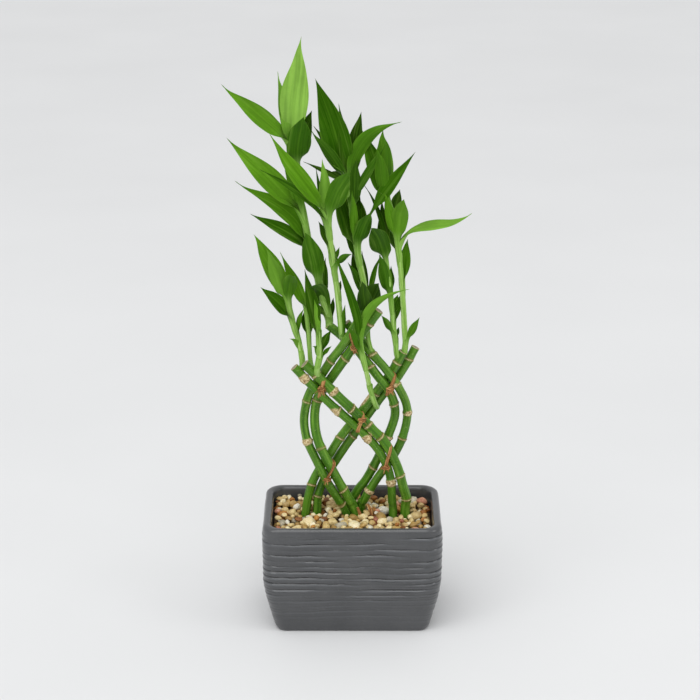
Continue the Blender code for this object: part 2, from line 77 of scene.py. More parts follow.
# Each cane: radius, joint heights, and its route's points (x, y, z)
STALKS = {
    "stalk_1": (4.3, (109, 132, 170, 181, 197, 213, 229),
                [(48, 8, 36), (48, 7, 95), (49, 5, 109), (46, 3, 121), (40, 3, 142), (30, 3, 163),
                 (18, 3, 177), (2, 3, 194), (-13, 3, 209), (-28, 3, 225), (-42, 3, 239)]),
    "stalk_2": (3.8, (126, 169, 195, 226),
                [(38, 8, 36), (37, 7, 94), (36, 5, 107), (35, 3, 126), (31, 3, 142), (22, 3, 159),
                 (10, 3, 173), (-1, 3, 184), (-19, 3, 201), (-36, 3, 219), (-51, 3, 236)]),
    "stalk_3": (4.2, (118, 159, 201, 245, 278),
                [(24, 9, 36), (2, 8, 97), (-2, 6, 106), (-8, 4, 118), (-17, 3, 136), (-28, 3, 159),
                 (-33, 7, 176), (-33, 12, 194), (-28, 13, 209), (-19, 12, 222), (-9, 4, 240),
                 (1, 2, 256), (11, 2, 272), (23, 2, 289)]),
    "stalk_4": (3.9, (104, 164, 200, 241),
                [(14, 9, 36), (-6, 8, 95), (-11, 6, 105), (-17, 4, 116), (-23, 3, 127),
                 (-32, 4.5, 146), (-40, 7, 164), (-43, 9, 180), (-42, 12, 193), (-38, 13, 208),
                 (-29, 13.5, 222), (-19, 6, 241), (-9, 2, 256), (1, 2, 272), (11, 2, 291)]),
    "stalk_5": (3.9, (120, 165, 208, 237),
                [(-49, 10, 36), (-42, 10, 95), (-37, 11, 119), (-29, 12, 136), (-20, 12, 150),
                 (-11, 12, 165), (-1, 12, 179), (10, 12, 193), (22, 12, 210), (34, 12, 227),
                 (45, 12, 247)]),
    "stalk_6": (3.9, (108, 166, 196, 238),
                [(-36, 12, 36), (-32, 12, 92), (-31, 13, 108), (-25, 16, 124), (-15, 16.5, 141),
                 (-5, 16.5, 157), (5, 16.5, 172), (15, 16.5, 187), (26, 16.5, 203),
                 (38, 16.5, 218), (48, 17.5, 234), (56, 18.5, 249)]),
    "stalk_7": (4.0, (135, 166, 200, 236, 260),
                [(-12, 22, 36), (-2, 19, 95), (4, 18, 110), (12, 18, 121), (19, 16, 135),
                 (25, 14, 149), (32, 13, 166), (38, 11, 186), (37, 7, 201), (32, 3, 215),
                 (23, 3, 227), (13, 5, 240), (3, 12, 251), (-8, 13, 261), (-21, 13, 272)]),
    "stalk_8": (3.8, (113, 165, 191, 220, 247),
                [(10, 20, 36), (8, 16, 94), (11, 13, 104), (16, 12.5, 114), (23, 12, 126),
                 (31, 12, 138), (39, 12, 151), (45, 12, 165), (49, 11, 184), (48, 7, 200),
                 (41, 3, 217), (29, 3, 235), (18, 6, 247), (8, 13, 258), (-5, 13, 274)]),
}

# Broad pale scars where a side shoot was cut off: stalk, height, half height, side it faces
# (degrees round the cane: 0 right, 90 back, 180 left, 270 front) and half spread in degrees
SCARS = [("stalk_2", 126, 3.2, 270, 200), ("stalk_2", 169, 3.2, 240, 80),
         ("stalk_2", 196, 3.6, 215, 75), ("stalk_2", 226, 3.2, 250, 120),
         ("stalk_4", 164, 2.8, 250, 150), ("stalk_7", 166, 1.8, 260, 110),
         ("stalk_8", 192, 2.6, 290, 50), ("stalk_8", 113, 1.9, 270, 150),
         ("stalk_1", 213, 1.8, 300, 90), ("stalk_5", 200, 6.5, 190, 45),
         ("stalk_8", 221, 2.0, 230, 60), ("stalk_1", 176, 2.2, 200, 40)]

# Each tie: where its loop holds the canes (x, z), the y of its front and back, the slant of the
# whole loop and the slant of its front against its back in degrees, its half height, how far
# below z the knot is, and the knot's size
TIES = {
    "tie_upper_left": (-27.5, 217.0, -1.9, 17.0, -4, 24, 9.6, -1, 3.1),
    "tie_upper_right": (34.0, 219.6, -2.0, 19.0, 4, 22, 10.4, 2, 3.0),
    "tie_centre": (7.2, 183.0, -1.8, 19.0, 0, 22, 9.0, -5, 3.0),
    "tie_lower_left": (-19.5, 136.5, -2.0, 19.0, 0, 30, 9.5, 6, 3.2),
    "tie_lower_right": (32.0, 151.0, -1.9, 17.5, 0, 17, 12.0, 9, 3.2),
    "tie_top": (0.5, 260.5, -2.6, 16.5, 0, -16, 11.0, 5, 2.7),
}

# Each shoot: stem radius, stem route, and groups of leaves. A leaf: height of its base on the
# stem, heading, rise, length, width, bow, turn of its face, then tone (0 dark, 1 pale; partly the
# leaf's own colour, partly painted light for leaves lit through from behind), share of the length
# that is stalk, sideways sway, and length of its thin tail (0 to 1)
SHOOTS = {
    "shoot_01": (2.7, [
        (-46, 6, 230), (-44, 10, 238), (-46, 10, 252), (-50, 10, 268), (-54, 10, 284), (-57, 9, 298)], {
        "lower": [
            (248, 218, 52, 19, 5, 0.2, 50, 0.7, 0.1, 0, 0.3),
            (266, 30, 72, 22, 5, 0.1, 35, 0.45, 0.1, 0, 0.2)],
        "upper": [
            (280, 197, 49, 41, 13, 0.05, -75, 0.3, 0.05, 0.02, 0.2),
            (296, 281, 47, 44, 13, 0.14, -10, 0.38, 0.05, 0, 0),
            (296, 190, 66, 68, 17, 0.04, 80, 0.6, 0.05, 0.02, 0.1),
            (296, 221, 67, 57, 14, 0.03, 75, 0.72, 0.05, 0, 0.2)]}),
    "shoot_02": (2.2, [
        (-34, 4, 231), (-37, 13, 238), (-38, 13, 254), (-39, 13, 270), (-40, 13, 286)], {
        "upper": [
            (264, 107, 75, 24, 12, 0.05, -5, 0.22, 0.05, 0, 0.2),
            (286, 188, 68, 59, 11, 0.03, -90, 0.52, 0.05, 0.02, 0.5)]}),
    "shoot_03": (2.8, [
        (-30, 3, 228), (-31, -3, 235), (-29, -4, 248), (-29, -4, 262), (-29, -4, 272)], {
        "lower": [
            (248, 213, 63, 13, 6, 0.3, 50, 0.45, 0.1, 0, 0.2),
            (248, 29, 37, 14, 4, 0.05, 35, 0.45, 0.2, 0, 0.3),
            (253, 50, 48, 22, 8, 0.05, 20, 0.2, 0.1, 0, 0.2)],
        "upper": [
            (268, 142, 76, 60, 12, 0.03, -50, 0.16, 0.05, 0.02, 0.2),
            (272, 137, 81, 29, 6, 0.05, -25, 0.66, 0.05, 0.02, 0.2)]}),
    "shoot_04": (3.3, [
        (-20, 13, 270), (-21, 12, 282), (-26, 11, 296), (-29, 10, 312), (-32, 9, 325), (-36, 9, 340),
        (-39, 9, 358), (-42, 10, 376), (-45, 11, 390), (-47, 12, 405), (-49, 12, 422), (-52, 13, 436)], {
        "lower": [
            (280, 208, 46, 23, 6, 0.05, 65, 0.12, 0.05, 0, 0.2),
            (286, 234, 48, 38, 13, 0.24, 50, 0.16, 0, 0.03, 0),
            (296, 52, 85, 38, 8, 0.03, 25, 0.24, 0.05, 0, 0.1),
            (279, 47, 75, 18, 5, 0.03, 30, 0.1, 0.05, 0, 0.1)],
        "middle": [
            (316, 239, 68, 51, 19, 0.04, 35, 0.36, 0, 0, 0),
            (342, 190, 35, 62, 12, 0.06, -70, 0.28, 0.05, 0.04, 0.25),
            (345, 183, 44, 87, 16, 0.12, -75, 0.42, 0, 0.08, 0.7),
            (374, 176, 46, 93, 20, 0.02, -65, 0.58, 0.05, 0.02, 0.35),
            (376, 204, 73, 62, 13, 0.02, 60, 0.4, 0.05, 0, 0.1)],
        "top": [
            (419, 296, 70, 47, 22, 0.05, -30, 0.26, 0, 0, 0),
            (422, 44, 65, 44, 16, 0.04, 35, 0.1, 0.05, 0, 0.1),
            (436, 191, 43, 79, 16, 0.02, -80, 0.62, 0.05, 0.02, 0.5),
            (436, 141, 78, 62, 11, 0.02, -40, 0.8, 0, 0.03, 0.5),
            (436, 17, 85, 92, 25, 0.02, 70, 0.92, 0.05, 0.02, 0.35)]}),
    "shoot_05": (2.9, [
        (-8, 13, 261), (-9, 6, 265), (-11, 5, 286), (-13, 3, 307), (-16, 1, 328), (-18, 0, 346),
        (-20, -1, 363), (-21, -1, 376)], {
        "lower": [
            (330, 319, 37, 26, 6, 0.1, -70, 0.34, 0.1, 0, 0.3),
            (334, 53, 55, 14, 4, 0.02, 25, 0.3, 0.1, 0, 0.2),
            (269, 303, 80, 27, 5, 0.05, -20, 0.36, 0.05, 0, 0.1),
            (306, 44, 74, 10, 4, 0.05, 25, 0.1, 0.1, 0, 0.1)],
        "upper": [
            (343, 134, 76, 76, 8, 0.03, -40, 0.26, 0.1, 0.04, 0.3),
            (348, 129, 49, 25, 7, 0.05, -40, 0.15, 0.05, 0, 0.2),
            (376, 188, 57, 89, 15, 0, -80, 0.6, 0.12, 0.03, 0.3),
            (376, 301, 52, 60, 19, 0.07, -50, 0.4, 0.05, 0, 0.1),
            (376, 125, 82, 49, 11, 0.03, -25, 0.7, 0.05, 0, 0.2),
            (376, 123, 63, 31, 5, 0.03, -20, 0.14, 0.05, 0, 0.2),
            (370, 193, 41, 77, 7, 0.08, -85, 0.26, 0.2, 0.03, 0.4)]}),
    "shoot_06": (2.9, [
        (11, 3, 289), (11, 6, 297), (10, 9, 312), (7, 10, 327), (4, 10, 344), (1, 11, 364), (-1, 13, 384),
        (-3, 14, 403)], {
        "middle": [
            (351, 355, 58, 94, 12, 0.04, 80, 0.3, 0.58, 0.02, 0.2),
            (346, 301, 57, 44, 14, 0.05, -40, 0.24, 0, 0, 0.1),
            (351, 69, 78, 43, 8, 0.02, 10, 0.34, 0.05, 0, 0.2),
            (346, 136, 66, 61, 27, 0.1, -35, 0.12, 0, 0, 0.2),
            (336, 147, 56, 24, 7, 0.04, -40, 0.2, 0.05, 0, 0.2),
            (312, 133, 63, 30, 12, 0.03, -40, 0.04, 0.05, 0, 0.1),
            (352, 258, 75, 49, 8, 0.02, 5, 0.5, 0.05, 0, 0.2)],
        "upper": [
            (379, 293, 80, 46, 13, 0.02, -25, 0.12, 0.05, 0, 0.1),
            (384, 333, 60, 64, 8, 0.04, -85, 0.28, 0.1, 0.02, 0.3)],
        "top": [
            (402, 136, 12, 22, 8, 0.05, -45, 0.08, 0.1, 0, 0.2),
            (403, 164, 72, 92, 25, 0.03, -70, 0.3, 0.05, 0, 0.15),
            (403, 204, 55, 58, 10, 0.03, 75, 0.18, 0.05, 0.02, 0.3),
            (403, 147, 51, 56, 9, 0.04, -40, 0.1, 0.1, 0, 0.2),
            (400, 197, 30, 46, 5, 0.03, -70, 0.08, 0.1, 0.02, 0.3),
            (403, 338, 50, 73, 13, 0.2, -85, 0.38, 0.05, 0.02, 0.55),
            (403, 62, 69, 60, 15, 0.04, 25, 0.07, 0.05, 0, 0.1),
            (403, 144, 82, 67, 9, 0.02, -50, 0.2, 0.1, 0, 0.2)]}),
    "shoot_07": (2.5, [
        (21, 16, 196), (22, 9, 196), (20, 3, 202), (16, 1, 216), (13, -6, 232), (10, -8, 246),
        (8, -8, 254)], {
        "upper": [
            (254, 212, 63, 30, 6, 0.08, 70, 0.34, 0.05, 0, 0.1),
            (254, 182, 77, 96, 8, 0.05, -90, 0.26, 0.05, 0.04, 0.2),
            (254, 344, 56, 75, 8, 0.24, -90, 0.7, 0.22, 0.03, 0.35),
            (222, 254, 70, 16, 4, 0.1, 0, 0.45, 0.1, 0, 0.2)]}),
    "shoot_08": (1.9, [
        (18, 5, 247), (16, 6, 254), (14, 6, 262), (13, 9, 270), (13, 11, 282), (13, 12, 296)], {
        "upper": [
            (284, 300, 60, 38, 17, 0.1, -40, 0.08, 0, 0, 0),
            (269, 261, 61, 63, 15, 0.05, 15, 0.07, 0, 0, 0),
            (296, 204, 64, 41, 8, 0.05, 75, 0.2, 0.05, 0, 0.2),
            (296, 9, 75, 43, 5, 0.04, 75, 0.28, 0.1, 0, 0.2),
            (296, 127, 81, 44, 7, 0.02, -35, 0.18, 0.1, 0, 0.2)]}),
    "shoot_09": (2.4, [
        (41, 13, 240), (39, 9, 247), (38, 9, 259), (36, 10, 273), (34, 11, 296), (31, 12, 319),
        (29, 12, 334)], {
        "lower": [
            (266, 212, 56, 23, 6, 0.05, 75, 0.3, 0.1, 0, 0.2),
            (260, 72, 37, 13, 4, 0.04, 10, 0.3, 0.1, 0, 0.2),
            (276, 39, 67, 29, 7, 0.05, 35, 0.14, 0.05, 0, 0.2),
            (283, 69, 47, 19, 8, 0.03, 20, 0.44, 0.05, 0, 0.1)],
        "middle": [
            (300, 215, 74, 42, 12, 0.04, 60, 0.3, 0.05, 0, 0.1),
            (303, 85, 71, 23, 7, 0.04, 5, 0.26, 0.1, 0, 0.2)],
        "top": [
            (334, 237, 56, 40, 19, 0.08, 50, 0.13, 0, 0, 0),
            (334, 113, 82, 52, 11, 0.02, -20, 0.1, 0.05, 0, 0.2),
            (334, 143, 70, 66, 5, 0.12, -40, 0.12, 0.2, 0, 0.3)]}),
    "shoot_10": (2.7, [
        (46, 13, 246), (47, 13, 256), (46, 13, 269), (45, 13, 286), (43, 13, 314), (41, 13, 334),
        (39, 13, 350), (36, 13, 370), (31, 13, 383), (28, 13, 390)], {
        "lower": [
            (258, 330, 62, 27, 7, 0.02, -60, 0.52, 0.1, 0, 0.2)],
        "middle": [
            (314, 52, 78, 36, 11, 0.04, 35, 0.38, 0.05, 0, 0.1),
            (348, 350, 25, 70, 9, 0.04, 65, 0.74, 0.25, 0.12, 0.3),
            (350, 281, 61, 50, 15, 0.1, -15, 0.6, 0, 0.02, 0),
            (341, 122, 52, 23, 11, 0.05, -20, 0.09, 0.05, 0, 0.1),
            (352, 218, 73, 45, 10, 0.02, 60, 0.62, 0, 0, 0.1)],
        "top": [
            (374, 66, 50, 23, 9, 0.03, 15, 0.07, 0.05, 0, 0.1),
            (388, 177, 72, 63, 17, 0.03, -70, 0.36, 0.05, 0.02, 0.2),
            (388, 252, 83, 63, 19, 0.02, 20, 0.42, 0.05, 0, 0.1),
            (390, 253, 66, 52, 12, 0.03, 10, 0.48, 0.05, 0, 0.2)]}),
}


# ---------------------------------------------------------------- materials

def rgb(r, g, b):
    """A colour given as 8-bit screen values, as Blender's linear colour."""
    return tuple((v / 255 / 12.92) if v <= 10 else ((v / 255 + 0.055) / 1.055) ** 2.4
                 for v in (r, g, b)) + (1.0,)


class Nodes:
    """A material's node tree, with short ways to add what the looks need."""

    def __init__(self, name, roughness=0.5, **sockets):
        self.material = bpy.data.materials.new(name)
        self.material.use_nodes = True
        self.tree = self.material.node_tree
        self.shader = self.tree.nodes["Principled BSDF"]
        self.shader.inputs["Roughness"].default_value = roughness
        for socket, value in sockets.items():
            self.shader.inputs[socket.replace("_", " ")].default_value = value

    def put(self, kind, inputs=None, **settings):
        node = self.tree.nodes.new(kind)
        for key, value in settings.items():
            setattr(node, key, value)
        for key, value in (inputs or {}).items():
            self.wire(value, node.inputs[key])
        return node

    def wire(self, value, socket):
        if isinstance(value, bpy.types.NodeSocket):
            self.tree.links.new(value, socket)
        else:
            socket.default_value = value

    def attribute(self, name, output="Fac"):
        return self.put("ShaderNodeAttribute", attribute_name=name).outputs[output]

    def noise(self, vector, scale, detail=3.0, rough=0.55):
        return self.put("ShaderNodeTexNoise", {"Vector": vector, "Scale": scale, "Detail": detail,
                                               "Roughness": rough}).outputs["Fac"]

    def stretch(self, vector, scale):
        return self.put("ShaderNodeMapping", {"Vector": vector, "Scale": scale}).outputs["Vector"]

    def ramp(self, fac, stops):
        node = self.put("ShaderNodeValToRGB", {"Fac": fac})
        elements = node.color_ramp.elements
        while len(elements) < len(stops):
            elements.new(0.5)
        for element, (place, colour) in zip(elements, stops):
            element.position = place
            element.color = colour if len(colour) == 4 else (*colour, 1)
        return node.outputs["Color"]

    def levels(self, fac, low, high):
        """fac from low to high becomes 0 to 1."""
        return self.put("ShaderNodeMapRange", {"Value": fac, "From Min": low, "From Max": high}
                        ).outputs["Result"]

    def math(self, operation, a, b=0.0):
        node = self.put("ShaderNodeMath", operation=operation)
        self.wire(a, node.inputs[0])
        self.wire(b, node.inputs[1])
        return node.outputs[0]

    def mix(self, fac, a, b, blend="MIX"):
        node = self.put("ShaderNodeMix", data_type="RGBA", blend_type=blend)
        self.wire(fac, node.inputs[0])
        self.wire(a, node.inputs[6])
        self.wire(b, node.inputs[7])
        return node.outputs[2]

    def over(self, colour, mask, share, other):
        """The colour with another laid over it by the mask, times a share."""
        return self.mix(self.math("MULTIPLY", mask, share), colour, other)

    def bump(self, height, strength, distance):
        node = self.put("ShaderNodeBump", {"Height": height, "Strength": strength,
                                           "Distance": distance})
        self.wire(node.outputs["Normal"], self.shader.inputs["Normal"])

    def colour(self, value):
        self.wire(value, self.shader.inputs["Base Color"])

    def roughness(self, fac, low, high):
        node = self.put("ShaderNodeMapRange", {"Value": fac, "To Min": low, "To Max": high})
        self.wire(node.outputs["Result"], self.shader.inputs["Roughness"])

    def place(self):
        return self.put("ShaderNodeTexCoord").outputs["Object"]


def leaf_material():
    """A waxy blade: parallel veins, a paler midrib and edge, mottling, and a paler underside."""
    n = Nodes("leaf", 0.42, Specular_IOR_Level=0.14, Specular_Tint=rgb(150, 220, 90))
    tone, across, along = n.attribute("tone"), n.attribute("across"), n.attribute("along")
    flow = n.attribute("flow", "Vector")
    # tone ramp: pale tones are partly the leaf's own colour and partly painted light, the glow of leaves
    # lit through from behind
    colour = n.ramp(tone, [(0.0, rgb(16, 42, 0)), (0.3, rgb(42, 90, 2)), (0.6, rgb(88, 142, 22)),
                           (1.0, rgb(156, 204, 92))])
    veins = n.noise(n.stretch(flow, (900, 900, 26)), 1.0, 2.0)
    fine = n.levels(veins, 0.35, 0.68)
    colour = n.over(colour, fine, 0.42, n.mix(0.4, colour, rgb(130, 180, 54)))
    bands = n.noise(n.stretch(flow, (300, 300, 15)), 1.0, 3.0)
    colour = n.over(colour, n.levels(bands, 0.44, 0.64), 0.55, n.mix(0.5, colour, rgb(16, 48, 0)))
    colour = n.over(colour, n.levels(bands, 0.44, 0.30), 0.5,
                    n.mix(0.35, colour, rgb(170, 206, 96)))
    mottle = n.noise(n.place(), 60.0, 4.0)
    colour = n.over(colour, n.levels(mottle, 0.45, 0.75), 0.35, n.mix(0.5, colour, rgb(20, 55, 8)))
    rib = n.levels(n.math("ABSOLUTE", across), 0.10, 0.0)
    colour = n.over(colour, rib, 0.4, n.mix(0.4, colour, rgb(120, 172, 50)))
    edge = n.levels(n.math("ABSOLUTE", across), 0.9, 1.0)
    colour = n.over(colour, edge, 0.25, rgb(130, 172, 60))
    stem_tone = n.ramp(veins, [(0.35, rgb(124, 172, 68)), (0.65, rgb(164, 204, 108))])
    sheath_share = n.math("MULTIPLY_ADD", tone, 0.2)
    sheath_share.node.inputs[2].default_value = 0.78
    colour = n.over(colour, n.attribute("base"), sheath_share, stem_tone)
    tip = n.levels(along, 0.965, 1.0)
    colour = n.over(colour, tip, 0.5, rgb(110, 120, 40))
    under = n.attribute("under")
    colour = n.over(colour, under, 0.30, n.mix(0.3, colour, rgb(90, 136, 50)))
    n.colour(colour)
    n.roughness(fine, 0.38, 0.50)
    n.bump(n.math("ADD", veins, n.math("MULTIPLY", bands, 1.5)), 0.4, 0.0006)
    return n.material


def stem_material():
    """A young stem: pale green with fine long streaks, darker where a leaf's sheath ends."""
    n = Nodes("stem", 0.42, Specular_IOR_Level=0.2)
    flow = n.attribute("flow", "Vector")
    streaks = n.noise(n.stretch(flow, (700, 700, 18)), 1.0, 3.0)
    cloudy = n.noise(n.place(), 45.0, 3.0)
    colour = n.ramp(streaks, [(0.3, rgb(112, 160, 54)), (0.48, rgb(150, 194, 88)),
                              (0.7, rgb(190, 222, 140))])
    colour = n.over(colour, n.levels(cloudy, 0.4, 0.7), 0.3, rgb(98, 150, 44))
    colour = n.over(colour, n.attribute("ring"), 0.35, rgb(176, 186, 110))
    colour = n.over(colour, n.attribute("tone"), 0.35, rgb(80, 136, 34))
    n.colour(colour)
    n.roughness(streaks, 0.34, 0.5)
    n.bump(streaks, 0.25, 0.0003)
    return n.material


def stalk_material():
    """A waxy cane: streaked green, tan scars at its joints edged by brown lines that are partly painted
    shadow, and cork on its cut ends.
    """
    n = Nodes("stalk", 0.36, Specular_IOR_Level=0.26)
    flow = n.attribute("flow", "Vector")
    streaks = n.noise(n.stretch(flow, (420, 420, 16)), 1.0, 4.0)
    cloudy = n.noise(n.stretch(flow, (120, 120, 45)), 1.0, 3.0)
    colour = n.ramp(streaks, [(0.28, rgb(50, 96, 10)), (0.48, rgb(82, 134, 26)),
                              (0.74, rgb(130, 174, 66))])
    colour = n.over(colour, n.levels(cloudy, 0.46, 0.72), 0.5, rgb(42, 86, 12))
    tone = n.attribute("tone")
    colour = n.over(colour, tone, 0.4, rgb(34, 74, 8))
    specks = n.noise(n.place(), 800.0, 2.0)
    colour = n.over(colour, n.levels(specks, 0.62, 0.74), 0.55, rgb(160, 186, 110))
    dirt = n.noise(n.place(), 260.0, 5.0, 0.7)
    colour = n.over(colour, n.levels(dirt, 0.56, 0.72), 0.45, rgb(46, 74, 14))
    grime = n.noise(n.place(), 700.0, 3.0)
    tan = n.ramp(grime, [(0.3, rgb(120, 88, 50)), (0.48, rgb(198, 176, 126)),
                         (0.7, rgb(240, 226, 188))])
    ring = n.attribute("ring")
    colour = n.mix(ring, colour, tan)
    # brown: real brown on the scars and the cut rim, plus brown lines beside each joint's pale ring that
    # are partly painted shadow under the ring and in its groove
    brown = n.attribute("brown")
    colour = n.over(colour, brown, 0.75, rgb(112, 76, 40))
    cut = n.attribute("cut")
    core = n.ramp(grime, [(0.3, rgb(120, 112, 98)), (0.55, rgb(156, 148, 130)),
                          (0.8, rgb(182, 172, 150))])
    colour = n.mix(cut, colour, core)
    n.colour(colour)
    n.roughness(n.math("MAXIMUM", ring, cut), 0.36, 0.8)
    n.bump(n.math("ADD", n.math("MULTIPLY", streaks, 0.5), n.math("MULTIPLY", grime, ring)),
           0.3, 0.0004)
    return n.material


def pot_material():
    """Dark grey satin glaze, paler along each crest as a painted highlight, and darker in the grooves as
    painted shade.
    """
    n = Nodes("glaze", 0.3, Coat_Weight=0.35, Coat_Roughness=0.16)
    spot = n.noise(n.place(), 26.0, 4.0)
    fine = n.noise(n.place(), 420.0, 3.0)
    colour = n.ramp(spot, [(0.35, rgb(64, 65, 67)), (0.65, rgb(74, 75, 77))])
    # painted highlight: a paler colour laid along the crest of each combed line
    crest = n.attribute("crest")
    colour = n.over(colour, crest, 0.5, rgb(104, 108, 113))
    # painted shade: a near-black colour laid down in the grooves of the combed lines
    groove = n.attribute("groove")
    colour = n.over(colour, groove, 0.7, rgb(34, 35, 37))
    colour = n.over(colour, n.levels(fine, 0.60, 0.72), 0.12, rgb(120, 121, 123))
    n.colour(colour)
    n.roughness(spot, 0.24, 0.36)
    n.bump(fine, 0.06, 0.0003)
    return n.material


def pebble_material(name, dark, middle, pale):
    """Worn stone: mottled, with its own shade on each pebble."""
    n = Nodes(name)
    big = n.noise(n.place(), 240.0, 5.0, 0.62)
    fine = n.noise(n.place(), 1100.0, 3.0)
    shade = n.math("ADD", n.math("MULTIPLY", big, 0.6), n.math("MULTIPLY", n.attribute("tone"), 0.4))
    colour = n.ramp(shade, [(0.25, dark), (0.48, middle), (0.75, pale)])
    colour = n.over(colour, n.levels(fine, 0.52, 0.7), 0.4, n.mix(0.55, colour, rgb(96, 70, 40)))
    n.colour(colour)
    n.roughness(fine, 0.33, 0.65)
    n.bump(n.math("ADD", big, n.math("MULTIPLY", fine, 0.4)), 0.35, 0.0006)
    return n.material


def raffia_material():
    """Dry brown fibre."""
    n = Nodes("raffia", 0.8)
    flow = n.attribute("flow", "Vector")
    fibres = n.noise(n.stretch(flow, (1500, 1500, 60)), 1.0, 3.0)
    shade = n.math("ADD", n.math("MULTIPLY", fibres, 0.7), n.math("MULTIPLY", n.attribute("tone"), 0.3))
    colour = n.ramp(shade, [(0.25, rgb(92, 56, 22)), (0.5, rgb(164, 110, 58)),
                            (0.75, rgb(216, 170, 112))])
    n.colour(colour)
    n.bump(fibres, 0.5, 0.0004)
    return n.material


def bed_shade_material():
    """Grit under the pebbles, coloured dark brown as painted shade in the gaps between them."""
    n = Nodes("grit", 0.9)
    big = n.noise(n.place(), 500.0, 4.0)
    n.colour(n.ramp(big, [(0.3, rgb(52, 36, 20)), (0.6, rgb(110, 82, 48)), (0.8, rgb(150, 120, 76))]))
    n.bump(big, 0.6, 0.001)
    return n.material


# ---------------------------------------------------------------- geometry helpers

class Shell:
    """Points, faces and per-point values of one piece, which may hold several closed bodies."""

    def __init__(self):
        self.points, self.faces, self.values = [], [], {}

    def add(self, points, faces, **values):
        start = len(self.points)
        self.points += [Vector(p) * MM for p in points]
        self.faces += [tuple(start + i for i in face) for face in faces]
        for name, value in values.items():
            if not isinstance(value, list):
                value = [value] * len(points)
            missing = start - len(self.values.setdefault(name, []))
            self.values[name] += [zero_like(value[0])] * missing + value

    def piece(self, name, material, replaced, slot):
        mesh = bpy.data.meshes.new(name)
        mesh.from_pydata(self.points, [], self.faces)
        for key, values in self.values.items():
            values = values + [zero_like(values[0])] * (len(self.points) - len(values))
            vector = isinstance(values[0], (tuple, Vector))
            layer = mesh.attributes.new(key, "FLOAT_VECTOR" if vector else "FLOAT", "POINT")
            if vector:
                layer.data.foreach_set("vector", [c for value in values for c in value])
            else:
                layer.data.foreach_set("value", values)
        mesh.materials.append(material)
        mesh.shade_smooth()
        mesh.set_sharp_from_angle(angle=math.radians(SHARP_ANGLE))
        mesh.update()
        obj = bpy.data.objects.new(name, mesh)
        bpy.context.scene.collection.objects.link(obj)
        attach(obj, "root")
        if replaced:
            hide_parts(*replaced)


def zero_like(value):
    return (0.0, 0.0, 0.0) if isinstance(value, (tuple, Vector)) else 0.0


def skin(rings, closed=False, cap=True):
    """Faces over rings of equal length, with flat ends or joined in a loop."""
    count, levels = len(rings[0]), len(rings)
    faces = []
    if cap and not closed:
        faces.append(tuple(range(count))[::-1])
    for level in range(levels - (0 if closed else 1)):
        low, high = level * count, (level + 1) % levels * count
        for i in range(count):
            j = (i + 1) % count
            faces.append((low + i, low + j, high + j, high + i))
    if cap and not closed:
        faces.append(tuple((levels - 1) * count + i for i in range(count)))
    return faces


def smooth_route(points, spacing):
    """Points about this far apart on a smooth curve through the given ones."""
    ends = [Vector(p) for p in points]
    ends = [2 * ends[0] - ends[1]] + ends + [2 * ends[-1] - ends[-2]]
    route = []
    for a, b, c, d in zip(ends, ends[1:], ends[2:], ends[3:]):
        steps = max(1, round((c - b).length / spacing))
        for step in range(steps):
            t = step / steps
            route.append(0.5 * (2 * b + (c - a) * t + (2 * a - 5 * b + 4 * c - d) * t * t
                                + (3 * b - a - 3 * c + d) * t ** 3))
    route.append(ends[-2])
    return route


def point_at_height(route, z):
    """The point and direction where a rising route passes this height."""
    for a, b in zip(route, route[1:]):
        if a.z <= z <= b.z:
            return a.lerp(b, (z - a.z) / max(b.z - a.z, 1e-6)), (b - a).normalized()
    end = route[-1] if z > route[-1].z else route[0]
    return end.copy(), (route[-1] - route[-2]).normalized()


def tube_rings(route, radii, sides, closed=False, flat=1.0):
    """Rings of a round or flattened tube, with each ring's two axes and distance along it."""
    rings, axes, run = [], [], [0.0]
    last = len(route) - 1
    for i, (centre, radius) in enumerate(zip(route, radii)):
        after = route[(i + 1) % len(route)] if closed else route[min(i + 1, last)]
        before = route[i - 1] if closed else route[max(i - 1, 0)]
        along = (after - before).normalized()
        across = Vector((1, 0, 0))
        across = (across - along * across.dot(along)).normalized()
        third = along.cross(across)
        ring = []
        for k in range(sides):
            angle = 2 * math.pi * k / sides
            ring.append(centre + radius * (across * math.cos(angle) + third * flat * math.sin(angle)))
        rings.append(ring)
        axes.append((across, third))
        if i:
            run.append(run[-1] + (centre - route[i - 1]).length)
    return rings, axes, run


def flow_values(rings, run, seed, radius):
    """Streak coordinates: round the tube, and along it, in metres, with an offset by seed."""
    sides = len(rings[0])
    values = []
    for distance in run:
        for k in range(sides):
            angle = 2 * math.pi * k / sides
            values.append((radius * MM * math.cos(angle) + seed * 0.37,
                           radius * MM * math.sin(angle) - seed * 0.21, distance * MM + seed))
    return values


def add_tube(shell, route, radii, sides, seed, streak_radius, closed=False, flat=1.0, **values):
    """A tube with streak coordinates, added to a shell."""
    rings, _, run = tube_rings(route, radii, sides, closed, flat)
    shell.add([p for ring in rings for p in ring], skin(rings, closed),
              flow=flow_values(rings, run, seed, streak_radius), **values)


# ---------------------------------------------------------------- pot and gravel

